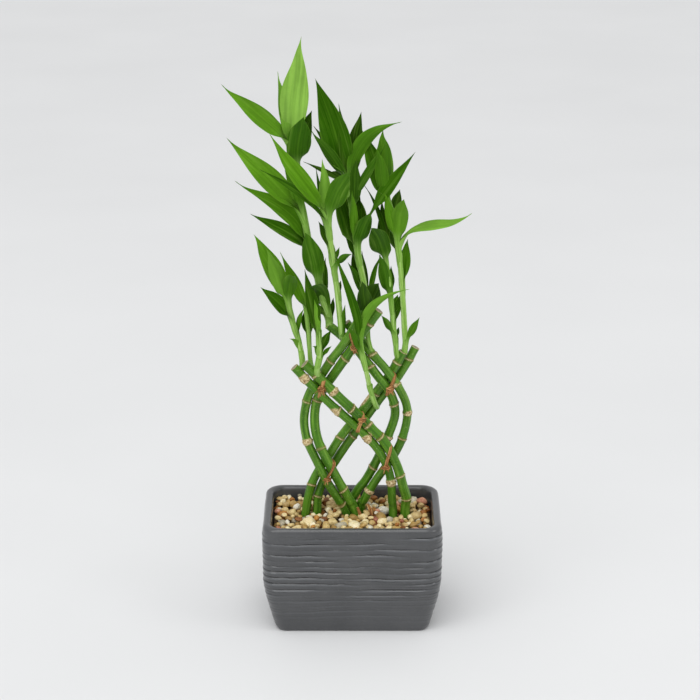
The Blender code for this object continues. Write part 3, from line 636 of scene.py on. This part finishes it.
def pot_outline(inset, z, corner_steps=CORNER_STEPS, edge=POT_EDGE):
    """Points and outward directions round the pot at one level."""
    half_x = POT_WIDTH / 2 - inset
    half_y = POT_DEPTH / 2 - inset * (FRONT_TAPER if z < BELLY_Z else 1.0)
    radius = max(POT_CORNER - inset * 0.5, POT_CORNER_LEAST)
    ring = []
    sides = ((1, 1), (-1, 1), (-1, -1), (1, -1))
    for turn, (sx, sy) in enumerate(sides):
        centre = Vector((sx * (half_x - radius), sy * (half_y - radius), z))
        for step in range(corner_steps + 1):
            angle = math.radians(90 * (turn + step / corner_steps))
            way = Vector((math.cos(angle), math.sin(angle), 0))
            ring.append((centre + way * radius, way))
        nx, ny = sides[(turn + 1) % 4]
        after = Vector((nx * (half_x - radius), ny * (half_y - radius), z)) + way * radius
        count = round(((POT_WIDTH if turn % 2 == 0 else POT_DEPTH) - 2 * POT_CORNER) / edge)
        start = ring[-1][0]
        ring += [(start.lerp(after, i / count), way) for i in range(1, count)]
    return ring


def wall_inset(z):
    """How far inside the widest outline the wall is at this height."""
    for (z0, a), (z1, b) in zip(POT_OUTSIDE, POT_OUTSIDE[1:]):
        if z0 <= z <= z1 and z1 > z0:
            t = (z - z0) / (z1 - z0)
            t = t * t * (3 - 2 * t) * 0.4 + t * 0.6
            return a + (b - a) * t
    return 0.0


def ridge(point, z):
    """How deep the combed lines are here, 0 to 1, and how much of a crest there is."""
    x, y = point.x / 40, point.y / 40
    warp = 0.30 * noise.noise(Vector((x * 0.8, y * 0.8, z / 40)))
    warp += 0.11 * noise.noise(Vector((x * 2.6 + 7, y * 2.6, z / 12)))
    warp += 0.05 * noise.noise(Vector((x * 9, y * 9, z / 6)))
    phase = z / GROOVE_PITCH + warp
    line = round(phase)
    gap = phase - line
    strength = 0.66 + 1.2 * noise.noise(Vector((x * 1.0 + 3, y * 1.0 - 5, line * 3.7)))
    strength = min(max(strength, 0.0), 1.0)
    fade = min(max((z - 4) / 42, 0.12), 1.0) * min(max((98.5 - z) / 3, 0.0), 1.0)
    groove = math.exp(-(gap / 0.10) ** 2)
    second = z / FINE_PITCH + warp * 2.0 + 0.4
    split = 1.8 * noise.noise(Vector((x * 1.3 - 9, y * 1.3, round(second) * 2.3))) + 0.15
    light = 0.6 * min(max(split, 0.0), 1.0) * math.exp(-((second - round(second)) / 0.13) ** 2)
    crest = math.exp(-((gap + 0.24) / 0.14) ** 2)
    return fade * max(strength * groove, light), strength * fade * crest


def build_pot():
    """The glazed pot: combed wall, rolled rim, and the wall's inside to below the gravel's top."""
    rings, groove_shades, crest_highlights = [], [], []
    start = [(0.0, 16.0), (0.0, 13.6), (0.5, 12.4)]
    top = [(z, inset) for z, inset in POT_OUTSIDE if z > COMBED_TO]
    steps = [POT_STEP * step for step in range(4, round(COMBED_TO / POT_STEP))]
    levels = start + [(z, wall_inset(z)) for z in steps] + top + POT_INSIDE
    for z, inset in levels:
        ring = []
        for point, way in pot_outline(inset, z):
            outside = (inset < 7.5 or z < 20) and z < COMBED_TO
            groove, crest = ridge(point, z) if outside else (0.0, 0.0)
            lumps = WALL_LUMPS * noise.noise(Vector((point.x / 22, point.y / 22, z / 22)))
            push = CREST_HEIGHT * crest - GROOVE_DEPTH * groove
            push += lumps if 2 < z and inset < 8 else 0.0
            ring.append(point + way * push)
            groove_shades.append(groove)
            crest_highlights.append(crest)
        rings.append(ring)
    shell = Shell()
    points = [p for ring in rings for p in ring]
    # the groove and crest values also paint shade in the grooves and a highlight on each crest
    shell.add(points, skin(rings), groove=groove_shades, crest=crest_highlights)
    shell.piece("pot_glazed", pot_material(), ("pot",), "pot")


def stalk_places():
    """Where each cane comes out of the gravel, with its radius."""
    return [(point_at_height(smooth_route(route, 4.0), GRAVEL_Z)[0], radius)
            for radius, _, route in STALKS.values()]


def stone(rand, centre, size):
    """A worn, faceted pebble as points and faces."""
    planes = []
    for _ in range(rand.randint(6, 9)):
        way = Vector((rand.uniform(-1, 1), rand.uniform(-1, 1), rand.uniform(-1, 1))).normalized()
        planes.append((way, rand.uniform(0.62, 0.88)))
    shape = Vector((rand.uniform(0.85, 1.25), rand.uniform(0.75, 1.0), rand.uniform(0.6, 0.85)))
    turn = rand.uniform(0, math.pi)
    tilt = rand.uniform(-0.5, 0.5)
    offset = Vector((rand.uniform(0, 50), rand.uniform(0, 50), rand.uniform(0, 50)))
    points = []
    for unit in ICO_POINTS:
        reach = 1.0
        for way, depth in planes:
            facing = unit.dot(way)
            if facing > 0.05:
                reach = min(reach, depth / facing)
        reach = 0.75 * reach + 0.25 * 0.85 + 0.07 * noise.noise(unit * 1.7 + offset)
        p = Vector((unit.x * shape.x, unit.y * shape.y, unit.z * shape.z)) * (reach * size * 1.12)
        p = Vector((p.x * math.cos(tilt) + p.z * math.sin(tilt), p.y,
                    -p.x * math.sin(tilt) + p.z * math.cos(tilt)))
        p = Vector((p.x * math.cos(turn) - p.y * math.sin(turn),
                    p.x * math.sin(turn) + p.y * math.cos(turn), p.z))
        points.append(centre + p)
    return points, ICO_FACES


def icosphere(subdivisions):
    """Points and faces of a unit ball that each stone is cut from."""
    work = bmesh.new()
    bmesh.ops.create_icosphere(work, subdivisions=subdivisions, radius=1.0)
    work.verts.ensure_lookup_table()
    points = [v.co.copy() for v in work.verts]
    faces = [tuple(v.index for v in f.verts) for f in work.faces]
    work.free()
    return points, faces


ICO_POINTS, ICO_FACES = icosphere(3)

PEBBLES = {
    "cream": (0.40, rgb(170, 140, 84), rgb(222, 200, 142), rgb(250, 240, 206)),
    "beige": (0.28, rgb(110, 82, 36), rgb(180, 146, 80), rgb(222, 198, 136)),
    "amber": (0.17, rgb(78, 40, 8), rgb(150, 90, 24), rgb(208, 152, 66)),
    "pink": (0.05, rgb(120, 60, 40), rgb(186, 120, 88), rgb(224, 172, 140)),
    "grey": (0.10, rgb(136, 128, 104), rgb(200, 192, 168), rgb(244, 240, 226)),
}


def build_gravel():
    """Stones dropped one by one on those below, up to the bed's top, over a bed of grit whose dark colour
    is painted shade between them.
    """
    rand = random.Random(GRAVEL_SEED)
    stalks = stalk_places()
    heap, kinds = [], []
    half_x, half_y = POT_WIDTH / 2 - WALL, POT_DEPTH / 2 - WALL
    for _ in range(STONE_TRIES):
        r = rand.choice(STONE_RADII)
        x = rand.uniform(-half_x + r, half_x - r)
        y = rand.uniform(-half_y + r, half_y - r)
        cx, cy = abs(x) - (half_x - INNER_CORNER), abs(y) - (half_y - INNER_CORNER)
        if cx > 0 and cy > 0 and math.hypot(cx, cy) > INNER_CORNER - r:
            continue
        if any(math.hypot(x - p.x, y - p.y) < radius + 0.75 * r for p, radius in stalks):
            continue
        z = GRAVEL_Z - 5.5
        for px, py, pz, pr in heap:
            d, touch = math.hypot(x - px, y - py), (r + pr) * 0.86
            if d < touch:
                z = max(z, pz + math.sqrt(touch * touch - d * d) * 0.82)
        mound = 1.4 * math.exp(-(x / 55) ** 2) + 3.4 * ease((y + 12) / 50)
        if z + 0.7 * r > GRAVEL_Z + 2.0 + mound:
            continue
        heap.append((x, y, z, r))
        pick = rand.random()
        for kind, (share, *_) in PEBBLES.items():
            pick -= share
            if pick <= 0:
                break
        kinds.append(kind)
    shells = {kind: Shell() for kind in PEBBLES}
    for (x, y, z, r), kind in zip(heap, kinds):
        points, faces = stone(rand, Vector((x, y, z)), r)
        shells[kind].add(points, faces, tone=rand.uniform(0, 1))
    for kind, (_, dark, middle, pale) in PEBBLES.items():
        look = pebble_material("pebble_" + kind, dark, middle, pale)
        shells[kind].piece("gravel_" + kind, look, (), "pebbles")
    bed = Shell()
    rings = [[p for p, _ in pot_outline(inset, z, 6, 6.0)]
             for z, inset in ((60, 9.2), (70, 9.0), (85.5, 8.8))]
    for share in (0.96, 0.85, 0.7, 0.5, 0.3, 0.1):
        rings.append([Vector((p.x * share, p.y * share,
                              87.0 + noise.noise(Vector((p.x * share / 5, p.y * share / 5, 0)))))
                      for p in rings[2]])
    bed.add([p for ring in rings for p in ring], skin(rings))
    # the bed's dark browns are painted shade seen through the gaps between stones
    bed.piece("gravel_bed", bed_shade_material(), ("pebble_bed",), "pebbles")


# ---------------------------------------------------------------- canes

def build_stalk(index, name, radius, joints, points):
    """A cane: swollen joints with a pale ring, broad scars, and a dished cork-coloured cut end."""
    route = [p for p in smooth_route(points, CANE_STEP) if p.z > CANE_FROM]
    sides = CANE_SIDES
    rand = random.Random(100 + index)
    tilts = {z: (rand.uniform(-0.9, 0.9), rand.uniform(0, 6.28), rand.uniform(0.34, 0.52))
             for z in joints}
    shade = [rand.uniform(-0.25, 0.3) for _ in range(len(joints) + 1)]
    scars = [scar[1:] for scar in SCARS if scar[0] == name]
    swell = [radius * (1 + 0.025 * noise.noise(Vector((index * 9, 0, p.z / 14)))) for p in route]
    rings, axes, run = tube_rings(route, swell, sides)
    ring_values, brown_and_shadow_marks, tones, cuts = [], [], [], []
    for centre, ring in zip(route, rings):
        for k, point in enumerate(ring):
            side = point - centre
            way = side.normalized()
            facing = math.degrees(math.atan2(way.y, way.x)) % 360
            push, beige, brown = 0.0, 0.0, 0.0
            for z in joints:
                tilt, turn, width = tilts[z]
                gap = (centre.z - z) + tilt * math.cos(math.radians(facing) - turn)
                if abs(gap) > 9:
                    continue
                push += 0.42 * math.exp(-(gap / 2.6) ** 2)
                push += 0.36 * math.exp(-((gap + 0.1) / 0.5) ** 2)
                push -= 0.28 * math.exp(-((gap - 1.1) / 0.5) ** 2)
                beige = max(beige, min(1.0, 1.25 * math.exp(-(gap / width) ** 2)))
                # brown lines just above and below the pale ring: partly the joint's own brown line,
                # partly painted shadow in the groove above it and under the ring
                brown = max(brown, math.exp(-((gap - 0.85) / 0.4) ** 2))
                brown = max(brown, 0.6 * math.exp(-((gap + 0.8) / 0.35) ** 2))
            for z, half, faces_to, spread in scars:
                off = abs((facing - faces_to + 180) % 360 - 180) / spread
                gap = abs(centre.z - z) / half
                inside = 1.12 - max(off ** 2 + gap ** 2, gap ** 3)
                inside = min(max(inside * 3.0, 0.0), 1.0)
                if inside > 0:
                    push += 0.45 * inside
                    beige = max(beige, inside)
                    rough = noise.noise(Vector((facing / 25, centre.z / 1.6, index)))
                    brown = max(brown * (1 - inside), inside * max(0.0, rough * 1.6))
            ring[k] = point + way * push
            ring_values.append(beige)
            brown_and_shadow_marks.append(brown)
            segment = sum(centre.z > z for z in joints)
            near = min((centre.z - z for z in joints if centre.z > z), default=20)
            tones.append(max(0.0, 0.35 + shade[segment] - 0.3 * math.exp(-near / 6)))
            cuts.append(0.0)
    flow = flow_values(rings, run, index * 1.7, radius)
    # the cut end: a rim, then a slightly dished face
    end, (across, third) = route[-1], axes[-1]
    along = (route[-1] - route[-2]).normalized()
    for share, lift, cut in ((1.01, 0.35, 0.15), (0.93, 0.55, 0.0), (0.80, 0.35, 0.9),
                             (0.45, 0.15, 1.0), (0.08, 0.2, 1.0)):
        ring = []
        for k in range(sides):
            angle = 2 * math.pi * k / sides
            rough = 0.15 * noise.noise(Vector((math.cos(angle) * 2, math.sin(angle) * 2, index)))
            ring.append(end + along * (lift + rough) + radius * share
                        * (across * math.cos(angle) + third * math.sin(angle)))
            ring_values.append(1.0 if cut < 0.5 else 0.2)
            brown_and_shadow_marks.append(0.25 if cut < 0.5 else 0.0)
            tones.append(0.2)
            cuts.append(cut)
            flow.append((share * 0.004 * math.cos(angle), share * 0.004 * math.sin(angle), index))
        rings.append(ring)
    shell = Shell()
    shell.add([p for ring in rings for p in ring], skin(rings), ring=ring_values, brown=brown_and_shadow_marks,
              tone=tones, cut=cuts, flow=flow)
    shell.piece("cane_" + name[-1], stalk_look, (name,), "stalk")


# ---------------------------------------------------------------- ties

def tie_loop(x, z, front, back, tilt, lean, half):
    """The flattened loop that a tie follows round the canes it holds."""
    middle, reach = (front + back) / 2, (back - front) / 2
    slope, skew = math.tan(math.radians(tilt)), math.tan(math.radians(lean))
    loop = []
    for i in range(TIE_STEPS):
        turn = 2 * math.pi * i / TIE_STEPS
        c, s = math.cos(turn), math.sin(turn)
        squared = (c ** 4 + s ** 4) ** -0.25
        rise = half * s * squared
        loop.append(Vector((x + rise * (slope + skew * c), middle - reach * c * squared, z + rise)))
    return loop


def build_tie(index, name, x, z, front, back, tilt, lean, half, drop, size):
    """Fibre strands round the canes, a knot of small turns in front, and its loose ends."""
    rand = random.Random(300 + index)
    loop = tie_loop(x, z, front, back, tilt, lean, half)
    shell = Shell()
    for strand in range(TIE_STRANDS):
        phase, spread = rand.uniform(0, 6.28), rand.uniform(0.35, 1.6)
        side = (strand - (TIE_STRANDS - 1) / 2) * STRAND_SPACING
        lift = rand.uniform(-0.35, 0.25)
        route = []
        for i, p in enumerate(loop):
            turn = 2 * math.pi * i / len(loop)
            wander = side + 0.28 * spread * math.sin(2 * turn + phase)
            out = (p - Vector((x, (front + back) / 2, z))).normalized()
            route.append(p + Vector((wander, 0, 0.12 * math.sin(5 * turn + phase)))
                         + out * (lift + 0.15 * math.sin(3 * turn + phase)))
        radii = [rand.uniform(0.26, 0.46)] * len(route)
        add_tube(shell, route, radii, STRAND_SIDES, index + strand * 0.13, STREAK_RADIUS, True, 0.6,
                 tone=rand.uniform(0, 1))
    middle = (front + back) / 2
    held = min((p for p in loop if p.y < middle), key=lambda p: abs(p.z - z + drop))
    centre = held + Vector((0, -0.45 * size, 0))
    for turn in range(KNOT_TURNS):
        lean_z, lean_x = rand.uniform(-0.7, 0.7), rand.uniform(-0.5, 0.5)
        radius = size * rand.uniform(0.45, 1.05)
        shift = Vector((rand.uniform(-0.3, 0.3), rand.uniform(-0.2, 0.2), rand.uniform(-0.4, 0.4)))
        route = []
        for i in range(KNOT_STEPS):
            angle = 2 * math.pi * i / KNOT_STEPS
            route.append(centre + shift * size + Vector(
                (radius * math.cos(angle), 0.7 * radius * math.sin(angle + lean_x) * 0.8,
                 radius * (0.75 * math.sin(angle) * lean_z + 0.35 * math.cos(angle + turn)))))
        radii = [rand.uniform(0.3, 0.55)] * len(route)
        add_tube(shell, route, radii, STRAND_SIDES, index + 3 + turn * 0.17, STREAK_RADIUS, True, 0.7,
                 tone=rand.uniform(0, 1))
    for loose in range(KNOT_ENDS):
        way = Vector((rand.uniform(-1, 1), rand.uniform(-0.9, -0.1), rand.uniform(-1.2, 0.6)))
        way.normalize()
        reach = rand.uniform(1.0, 2.3) * size
        ends = [centre, centre + way * reach * 0.5 + Vector((0, -0.3, 0.5)),
                centre + way * reach + Vector((rand.uniform(-0.6, 0.6), 0, -0.6))]
        route = smooth_route(ends, 0.7)
        radii = [0.45 * (1 - 0.75 * i / len(route)) for i in range(len(route))]
        add_tube(shell, route, radii, 6, index + 6 + loose * 0.17, STREAK_RADIUS, flat=0.6,
                 tone=rand.uniform(0, 1))
    shell.piece(name.replace("tie_", "raffia_"), raffia_look, (name,), "raffia")


# ---------------------------------------------------------------- shoots

def build_stem(index, name, radius, points):
    """A shoot's stem, with faint lines where sheaths ended."""
    route = smooth_route(points, 1.6)
    sides, count, radii = STEM_SIDES, len(route), []
    for i, p in enumerate(route):
        r = radius * (1.0 - STEM_TAPER * i / (count - 1))
        step = p.z / SHEATH_SPACING + 0.35 * index
        near = abs(step - round(step)) * SHEATH_SPACING
        r += 0.06 * math.exp(-(near / 0.7) ** 2)
        if i < 5:
            r += 0.25 * (5 - i) / 5
        if i > count - 9:
            r *= 1.0 - 0.1 * (i - count + 9)
        radii.append(r)
    rings, _, run = tube_rings(route, radii, sides)
    marks, tones = [], []
    for p in route:
        step = p.z / SHEATH_SPACING + 0.35 * index
        near = abs(step - round(step)) * SHEATH_SPACING
        mark = 0.7 * math.exp(-(near / 0.35) ** 2)
        low = max(0.0, 1.0 - (p.z - route[0].z) / 24)
        tone = 0.6 * low + 0.3 * (0.5 + noise.noise(Vector((index * 3, 0, p.z / 18))))
        marks += [mark] * sides
        tones += [tone] * sides
    shell = Shell()
    shell.add([p for ring in rings for p in ring], skin(rings),
              flow=flow_values(rings, run, index * 2.3, radius), ring=marks, tone=tones)
    shell.piece(name + "_stem_detail", stem_look, (name + "_stem",), "stem")


def ease(value):
    """0 to 1, slow at both ends."""
    value = min(max(value, 0.0), 1.0)
    return value * value * (3 - 2 * value)


def blade_half(t, width, stalk_share, tail, wrap):
    """Half width of the blade at t, from where it leaves the stem to its tip."""
    full = width / 2
    peak = 0.40 + 0.22 * stalk_share
    neck = max(full * (0.70 - 1.1 * stalk_share), 1.1)
    if t < peak:
        body = neck + (full - neck) * ease((t - 0.5 * stalk_share) / (peak - 0.5 * stalk_share))
        return body + (wrap - body) * (1 - ease(t / 0.20)) if t < 0.20 else body
    fall = math.cos(math.pi / 2 * (t - peak) / (1 - peak)) ** (1.15 + 1.3 * tail)
    return max(full * fall, 0.55 * math.sqrt(max(1 - t, 0.0)))


def blade_route(stem, radius, hug, leaf, hook):
    """The leaf's centre line, first up the stem as a sheath, then out to the tip.

    With it come the blade's two side directions and the sheath's length.
    """
    z, heading, rise, length, width, bow, _, _, _, sway, _ = leaf
    foot, _ = point_at_height(stem, z)
    h, r = math.radians(heading), math.radians(rise)
    level = Vector((math.cos(h), math.sin(h), 0))
    chord = level * math.cos(r) + Vector((0, 0, math.sin(r)))
    inward = Vector((0, 0, math.cos(r))) - level * math.sin(r)
    flank = Vector((-math.sin(h), math.cos(h), 0))
    tip = foot + level * (radius * 0.55) + chord * length
    foot = foot + level * hug
    chord, length = (tip - foot).normalized(), (tip - foot).length
    sheath = min(9.0 + 0.55 * width + 0.04 * length, max(z - stem[0].z - 1.0, 2.0))
    hook *= length
    guide = []
    for share in (1.0, 0.66, 0.33):
        at, way = point_at_height(stem, z - sheath * share)
        out = (level - way * level.dot(way)).normalized()
        guide.append(at + out * (hug if share < 1 else radius + 0.05))
    start = 0.10 if rise > 70 else 0.14
    for t in (start, 0.3, 0.5, 0.7, 0.87, 1.0):
        spot = foot + chord * (length * t) + inward * (4 * bow * length * t * (1 - t))
        spot += inward * (9.0 * sway * length * t * (1 - t) * (0.5 - t))
        spot += flank * (hook * math.sin(math.pi * t) * math.cos(2.2 * t))
        spot += (inward * 0.5 + flank) * (hook * 0.8 if t == 0.87 else 0.0)
        guide.append(spot)
    return smooth_route(guide, 1.0), flank, inward, sheath


def blade_faces(stations, point_count):
    """Faces over the blade's rings, with a flat base and a fan to the tip, its last point."""
    count = 2 * BLADE_COLUMNS
    faces = [tuple(range(count))[::-1]]
    for station in range(stations - 1):
        low, high = station * count, (station + 1) * count
        for i in range(count):
            j = (i + 1) % count
            faces.append((low + i, low + j, high + j, high + i))
    last = (stations - 1) * count
    return faces + [(last + i, last + (i + 1) % count, point_count - 1) for i in range(count)]


def add_blade(shell, stem, radius, leaf, seed, nested):
    """A leaf: its base clasps the stem like a sheath, opens into a blade and thins to its tip."""
    _, _, _, _, width, _, turn, tone, stalk_share, _, tail = leaf
    rand = random.Random(seed)
    roll = math.radians(turn)
    hug = radius + 0.22 + 0.10 * nested
    curve, flank, inward, sheath = blade_route(stem, radius, hug, leaf,
                                               rand.uniform(-0.022, 0.022))
    run = [0.0]
    for a, b in zip(curve, curve[1:]):
        run.append(run[-1] + (b - a).length)
    blade_run = run[-1] - sheath
    stations = max(20, min(40, round(run[-1] / 2.0)))
    twist = rand.uniform(-0.3, 0.3)
    waves, wave_phase = rand.uniform(1.0, 2.2), rand.uniform(0, 6.28)
    keel = math.radians(rand.uniform(8, 17))
    cup = rand.uniform(0.12, 0.42)
    points, along_values, across_values, under_values, flow, bases = [], [], [], [], [], []
    for station in range(stations):
        want = run[-1] * station / stations
        i = next((k for k in range(1, len(run)) if run[k] >= want), len(run) - 1)
        part = (want - run[i - 1]) / max(run[i] - run[i - 1], 1e-6)
        centre = curve[i - 1].lerp(curve[i], part)
        along = (curve[min(i + 1, len(curve) - 1)] - curve[max(i - 2, 0)]).normalized()
        t = (want - sheath) / blade_run
        opened = ease((t + 0.02) / 0.30)
        rolled = roll * opened + twist * max(t, 0.0)
        side = flank * math.cos(rolled) + inward * math.sin(rolled)
        across = (side - along * side.dot(along)).normalized()
        face = along.cross(across)
        if t < 0:
            grown = ease(1 + t * blade_run / sheath)
            closing = 2.6 - 0.85 * grown
            half = closing * (radius + (hug - radius) * grown)
        else:
            closing = 1.75 * (1 - ease(t / 0.20)) + cup * ease(t / 0.1)
            half = blade_half(t, width, stalk_share, tail, hug)
            half *= max(closing, 0.05) / math.sin(min(max(closing, 0.05), math.pi / 2))
        curl = max(half, 0.3) / closing
        slope = keel * ease(t / 0.3)
        thick = 0.50 * (1 - 0.5 * max(t, 0.0)) * min(1.0, 0.12 + station / 5)
        upper, lower = [], []
        for c in range(BLADE_COLUMNS):
            u = 2 * c / (BLADE_COLUMNS - 1) - 1
            angle = u * closing
            sideways = curl * math.sin(angle)
            lift = curl * (1 - math.cos(angle)) + half * abs(u) ** 1.2 * math.sin(slope)
            lift += half * 0.09 * u * abs(u) * math.sin(waves * 6.28 * t + wave_phase) * opened
            normal = face * math.cos(angle) - across * math.sin(angle)
            spot = centre + across * (sideways * math.cos(slope)) + face * lift
            body = thick * (0.30 + 0.70 * max(0.0, 1 - abs(u) * 1.5)) * 0.5
            dip = -0.14 * max(0.0, 1 - abs(u) * 5) * opened
            upper.append((spot + normal * (body + dip), u))
            lower.append((spot - normal * body, u))
        for k, (spot, u) in enumerate(upper + lower[::-1]):
            points.append(spot)
            along_values.append(min(max(t, 0.0), 1.0))
            bases.append(1.0 - ease((t + 0.14) / 0.36))
            across_values.append(u)
            under_values.append(0.0 if k < BLADE_COLUMNS else 1.0)
            flow.append((half * u * MM + seed * 0.31, seed * 0.17, want * MM))
    points.append(curve[-1])
    along_values.append(1.0)
    for values in (bases, across_values, under_values):
        values.append(0.0)
    flow.append((seed * 0.31, seed * 0.17, run[-1] * MM))
    faces = blade_faces(stations, len(points))
    if signed_volume(points, faces) < 0:
        faces = [face[::-1] for face in faces]
    shade = min(max(tone + rand.uniform(-0.04, 0.04), 0.0), 1.0)
    shell.add(points, faces, tone=shade, across=across_values, along=along_values,
              under=under_values, flow=flow, base=bases)


def signed_volume(points, faces):
    """Six times the volume, negative where the faces look inwards."""
    total = 0.0
    for face in faces:
        a = points[face[0]]
        for b, c in zip(face[1:-1], face[2:]):
            total += a.dot(points[b].cross(points[c]))
    return total


def build_leaves(index, name, stem, radius, leaves):
    """One group of a shoot's leaves; lower leaves have their sheaths outside those above."""
    shell = Shell()
    for number, leaf in enumerate(leaves):
        above = sum(other[0] > leaf[0] for other in leaves)
        add_blade(shell, stem, radius, leaf, index * 10 + number + 1, above)
    shell.piece(name.replace("shoot_", "leaves_").replace("_leaves", ""), leaf_look, (name,), "leaf")


# ---------------------------------------------------------------- roots

def build_roots():
    """Brown roots at the feet of two canes."""
    rand = random.Random(ROOT_SEED)
    roots = Shell()
    for base, reach in ((Vector((8, 2, 92)), 13), (Vector((17, 9, 95)), 9)):
        for strand in range(ROOT_STRANDS):
            side = rand.uniform(-2.2, 2.2)
            ends = [base + Vector((side, rand.uniform(-2, 1), -4)),
                    base + Vector((side * 0.6 - 1, rand.uniform(-2, 0), reach * 0.25)),
                    base + Vector((side * 0.4 - 3.0, rand.uniform(-1, 1), reach * 0.7))]
            route = smooth_route(ends, 0.9)
            radii = [0.75 * (1 - 0.4 * i / len(route)) for i in range(len(route))]
            add_tube(roots, route, radii, STRAND_SIDES, strand * 0.3, 0.7, flat=0.8,
                     tone=rand.uniform(0, 1))
    roots.piece("roots", raffia_look, (), "raffia")


# ---------------------------------------------------------------- build

stalk_look, stem_look, leaf_look = stalk_material(), stem_material(), leaf_material()
raffia_look = raffia_material()

build_pot()
build_gravel()
for number, (name, values) in enumerate(STALKS.items()):
    build_stalk(number + 1, name, *values)
for number, (name, values) in enumerate(TIES.items()):
    build_tie(number + 1, name, *values)
for number, (name, (radius, points, groups)) in enumerate(SHOOTS.items()):
    build_stem(number + 1, name, radius, points)
    stem = smooth_route(points, 3.0)
    for level, (group, leaves) in enumerate(groups.items()):
        build_leaves(number * 3 + level + 1, f"{name}_leaves_{group}", stem, radius * 0.9, leaves)
build_roots()


# ---------------------------------------------------------------- floor, lights, camera

def build_stage():
    """A pale paper floor and an even white surround."""
    sheet = bpy.data.meshes.new("floor")
    corners = [(x * FLOOR_HALF, y * FLOOR_HALF, 0) for x, y in ((-1, -1), (1, -1), (1, 1), (-1, 1))]
    sheet.from_pydata(corners, [], [(0, 1, 2, 3)])
    floor = bpy.data.objects.new("floor", sheet)
    bpy.context.scene.collection.objects.link(floor)
    n = Nodes("paper", 0.75)
    mottle = n.noise(n.place(), 3.0, 2.0)
    n.colour(n.ramp(mottle, [(0.3, rgb(221, 222, 223)), (0.7, rgb(224, 225, 226))]))
    sheet.materials.append(n.material)

    world = bpy.data.worlds.new("studio")
    world.use_nodes = True
    sky = world.node_tree.nodes["Background"]
    sky.inputs["Color"].default_value = (1.0, 1.0, 1.0, 1)
    sky.inputs["Strength"].default_value = 0.655
    bpy.context.scene.world = world
    bpy.context.scene.view_settings.view_transform = "Standard"


def area_light(name, place, target, size, power):
    data = bpy.data.lights.new(name, "AREA")
    data.shape, data.size, data.energy = "SQUARE", size, power
    light = bpy.data.objects.new(name, data)
    light.location = place
    light.rotation_euler = (Vector(target) - Vector(place)).to_track_quat("-Z", "Y").to_euler()
    bpy.context.scene.collection.objects.link(light)


build_stage()
soft = bpy.data.lights.new("soft_sun", "SUN")
soft.energy, soft.angle = 1.15, math.radians(60)
sun = bpy.data.objects.new("soft_sun", soft)
sun.rotation_euler = (math.radians(28), math.radians(-14), 0)
bpy.context.scene.collection.objects.link(sun)
area_light("overhead", (0.0, -0.4, 2.2), (0, 0, 0.2), 1.2, 5)
area_light("left_box", (-1.6, -1.2, 1.5), (0, 0, 0.25), 0.8, 4)
area_light("right_box", (1.7, -0.7, 1.3), (0, 0, 0.25), 0.8, 5)

# place in metres, pitch down in radians, focal length in millimetres
CAMERA_PLACE, CAMERA_PITCH, CAMERA_LENS = (-0.002, -1.655, 0.849), 0.3455, 103.0114
lens = bpy.data.cameras.new("camera")
lens.sensor_width = 36.0
lens.lens = CAMERA_LENS
camera = bpy.data.objects.new("camera", lens)
camera.location = CAMERA_PLACE
camera.rotation_euler = (math.pi / 2 - CAMERA_PITCH, 0, 0)
bpy.context.scene.collection.objects.link(camera)
bpy.context.scene.camera = camera
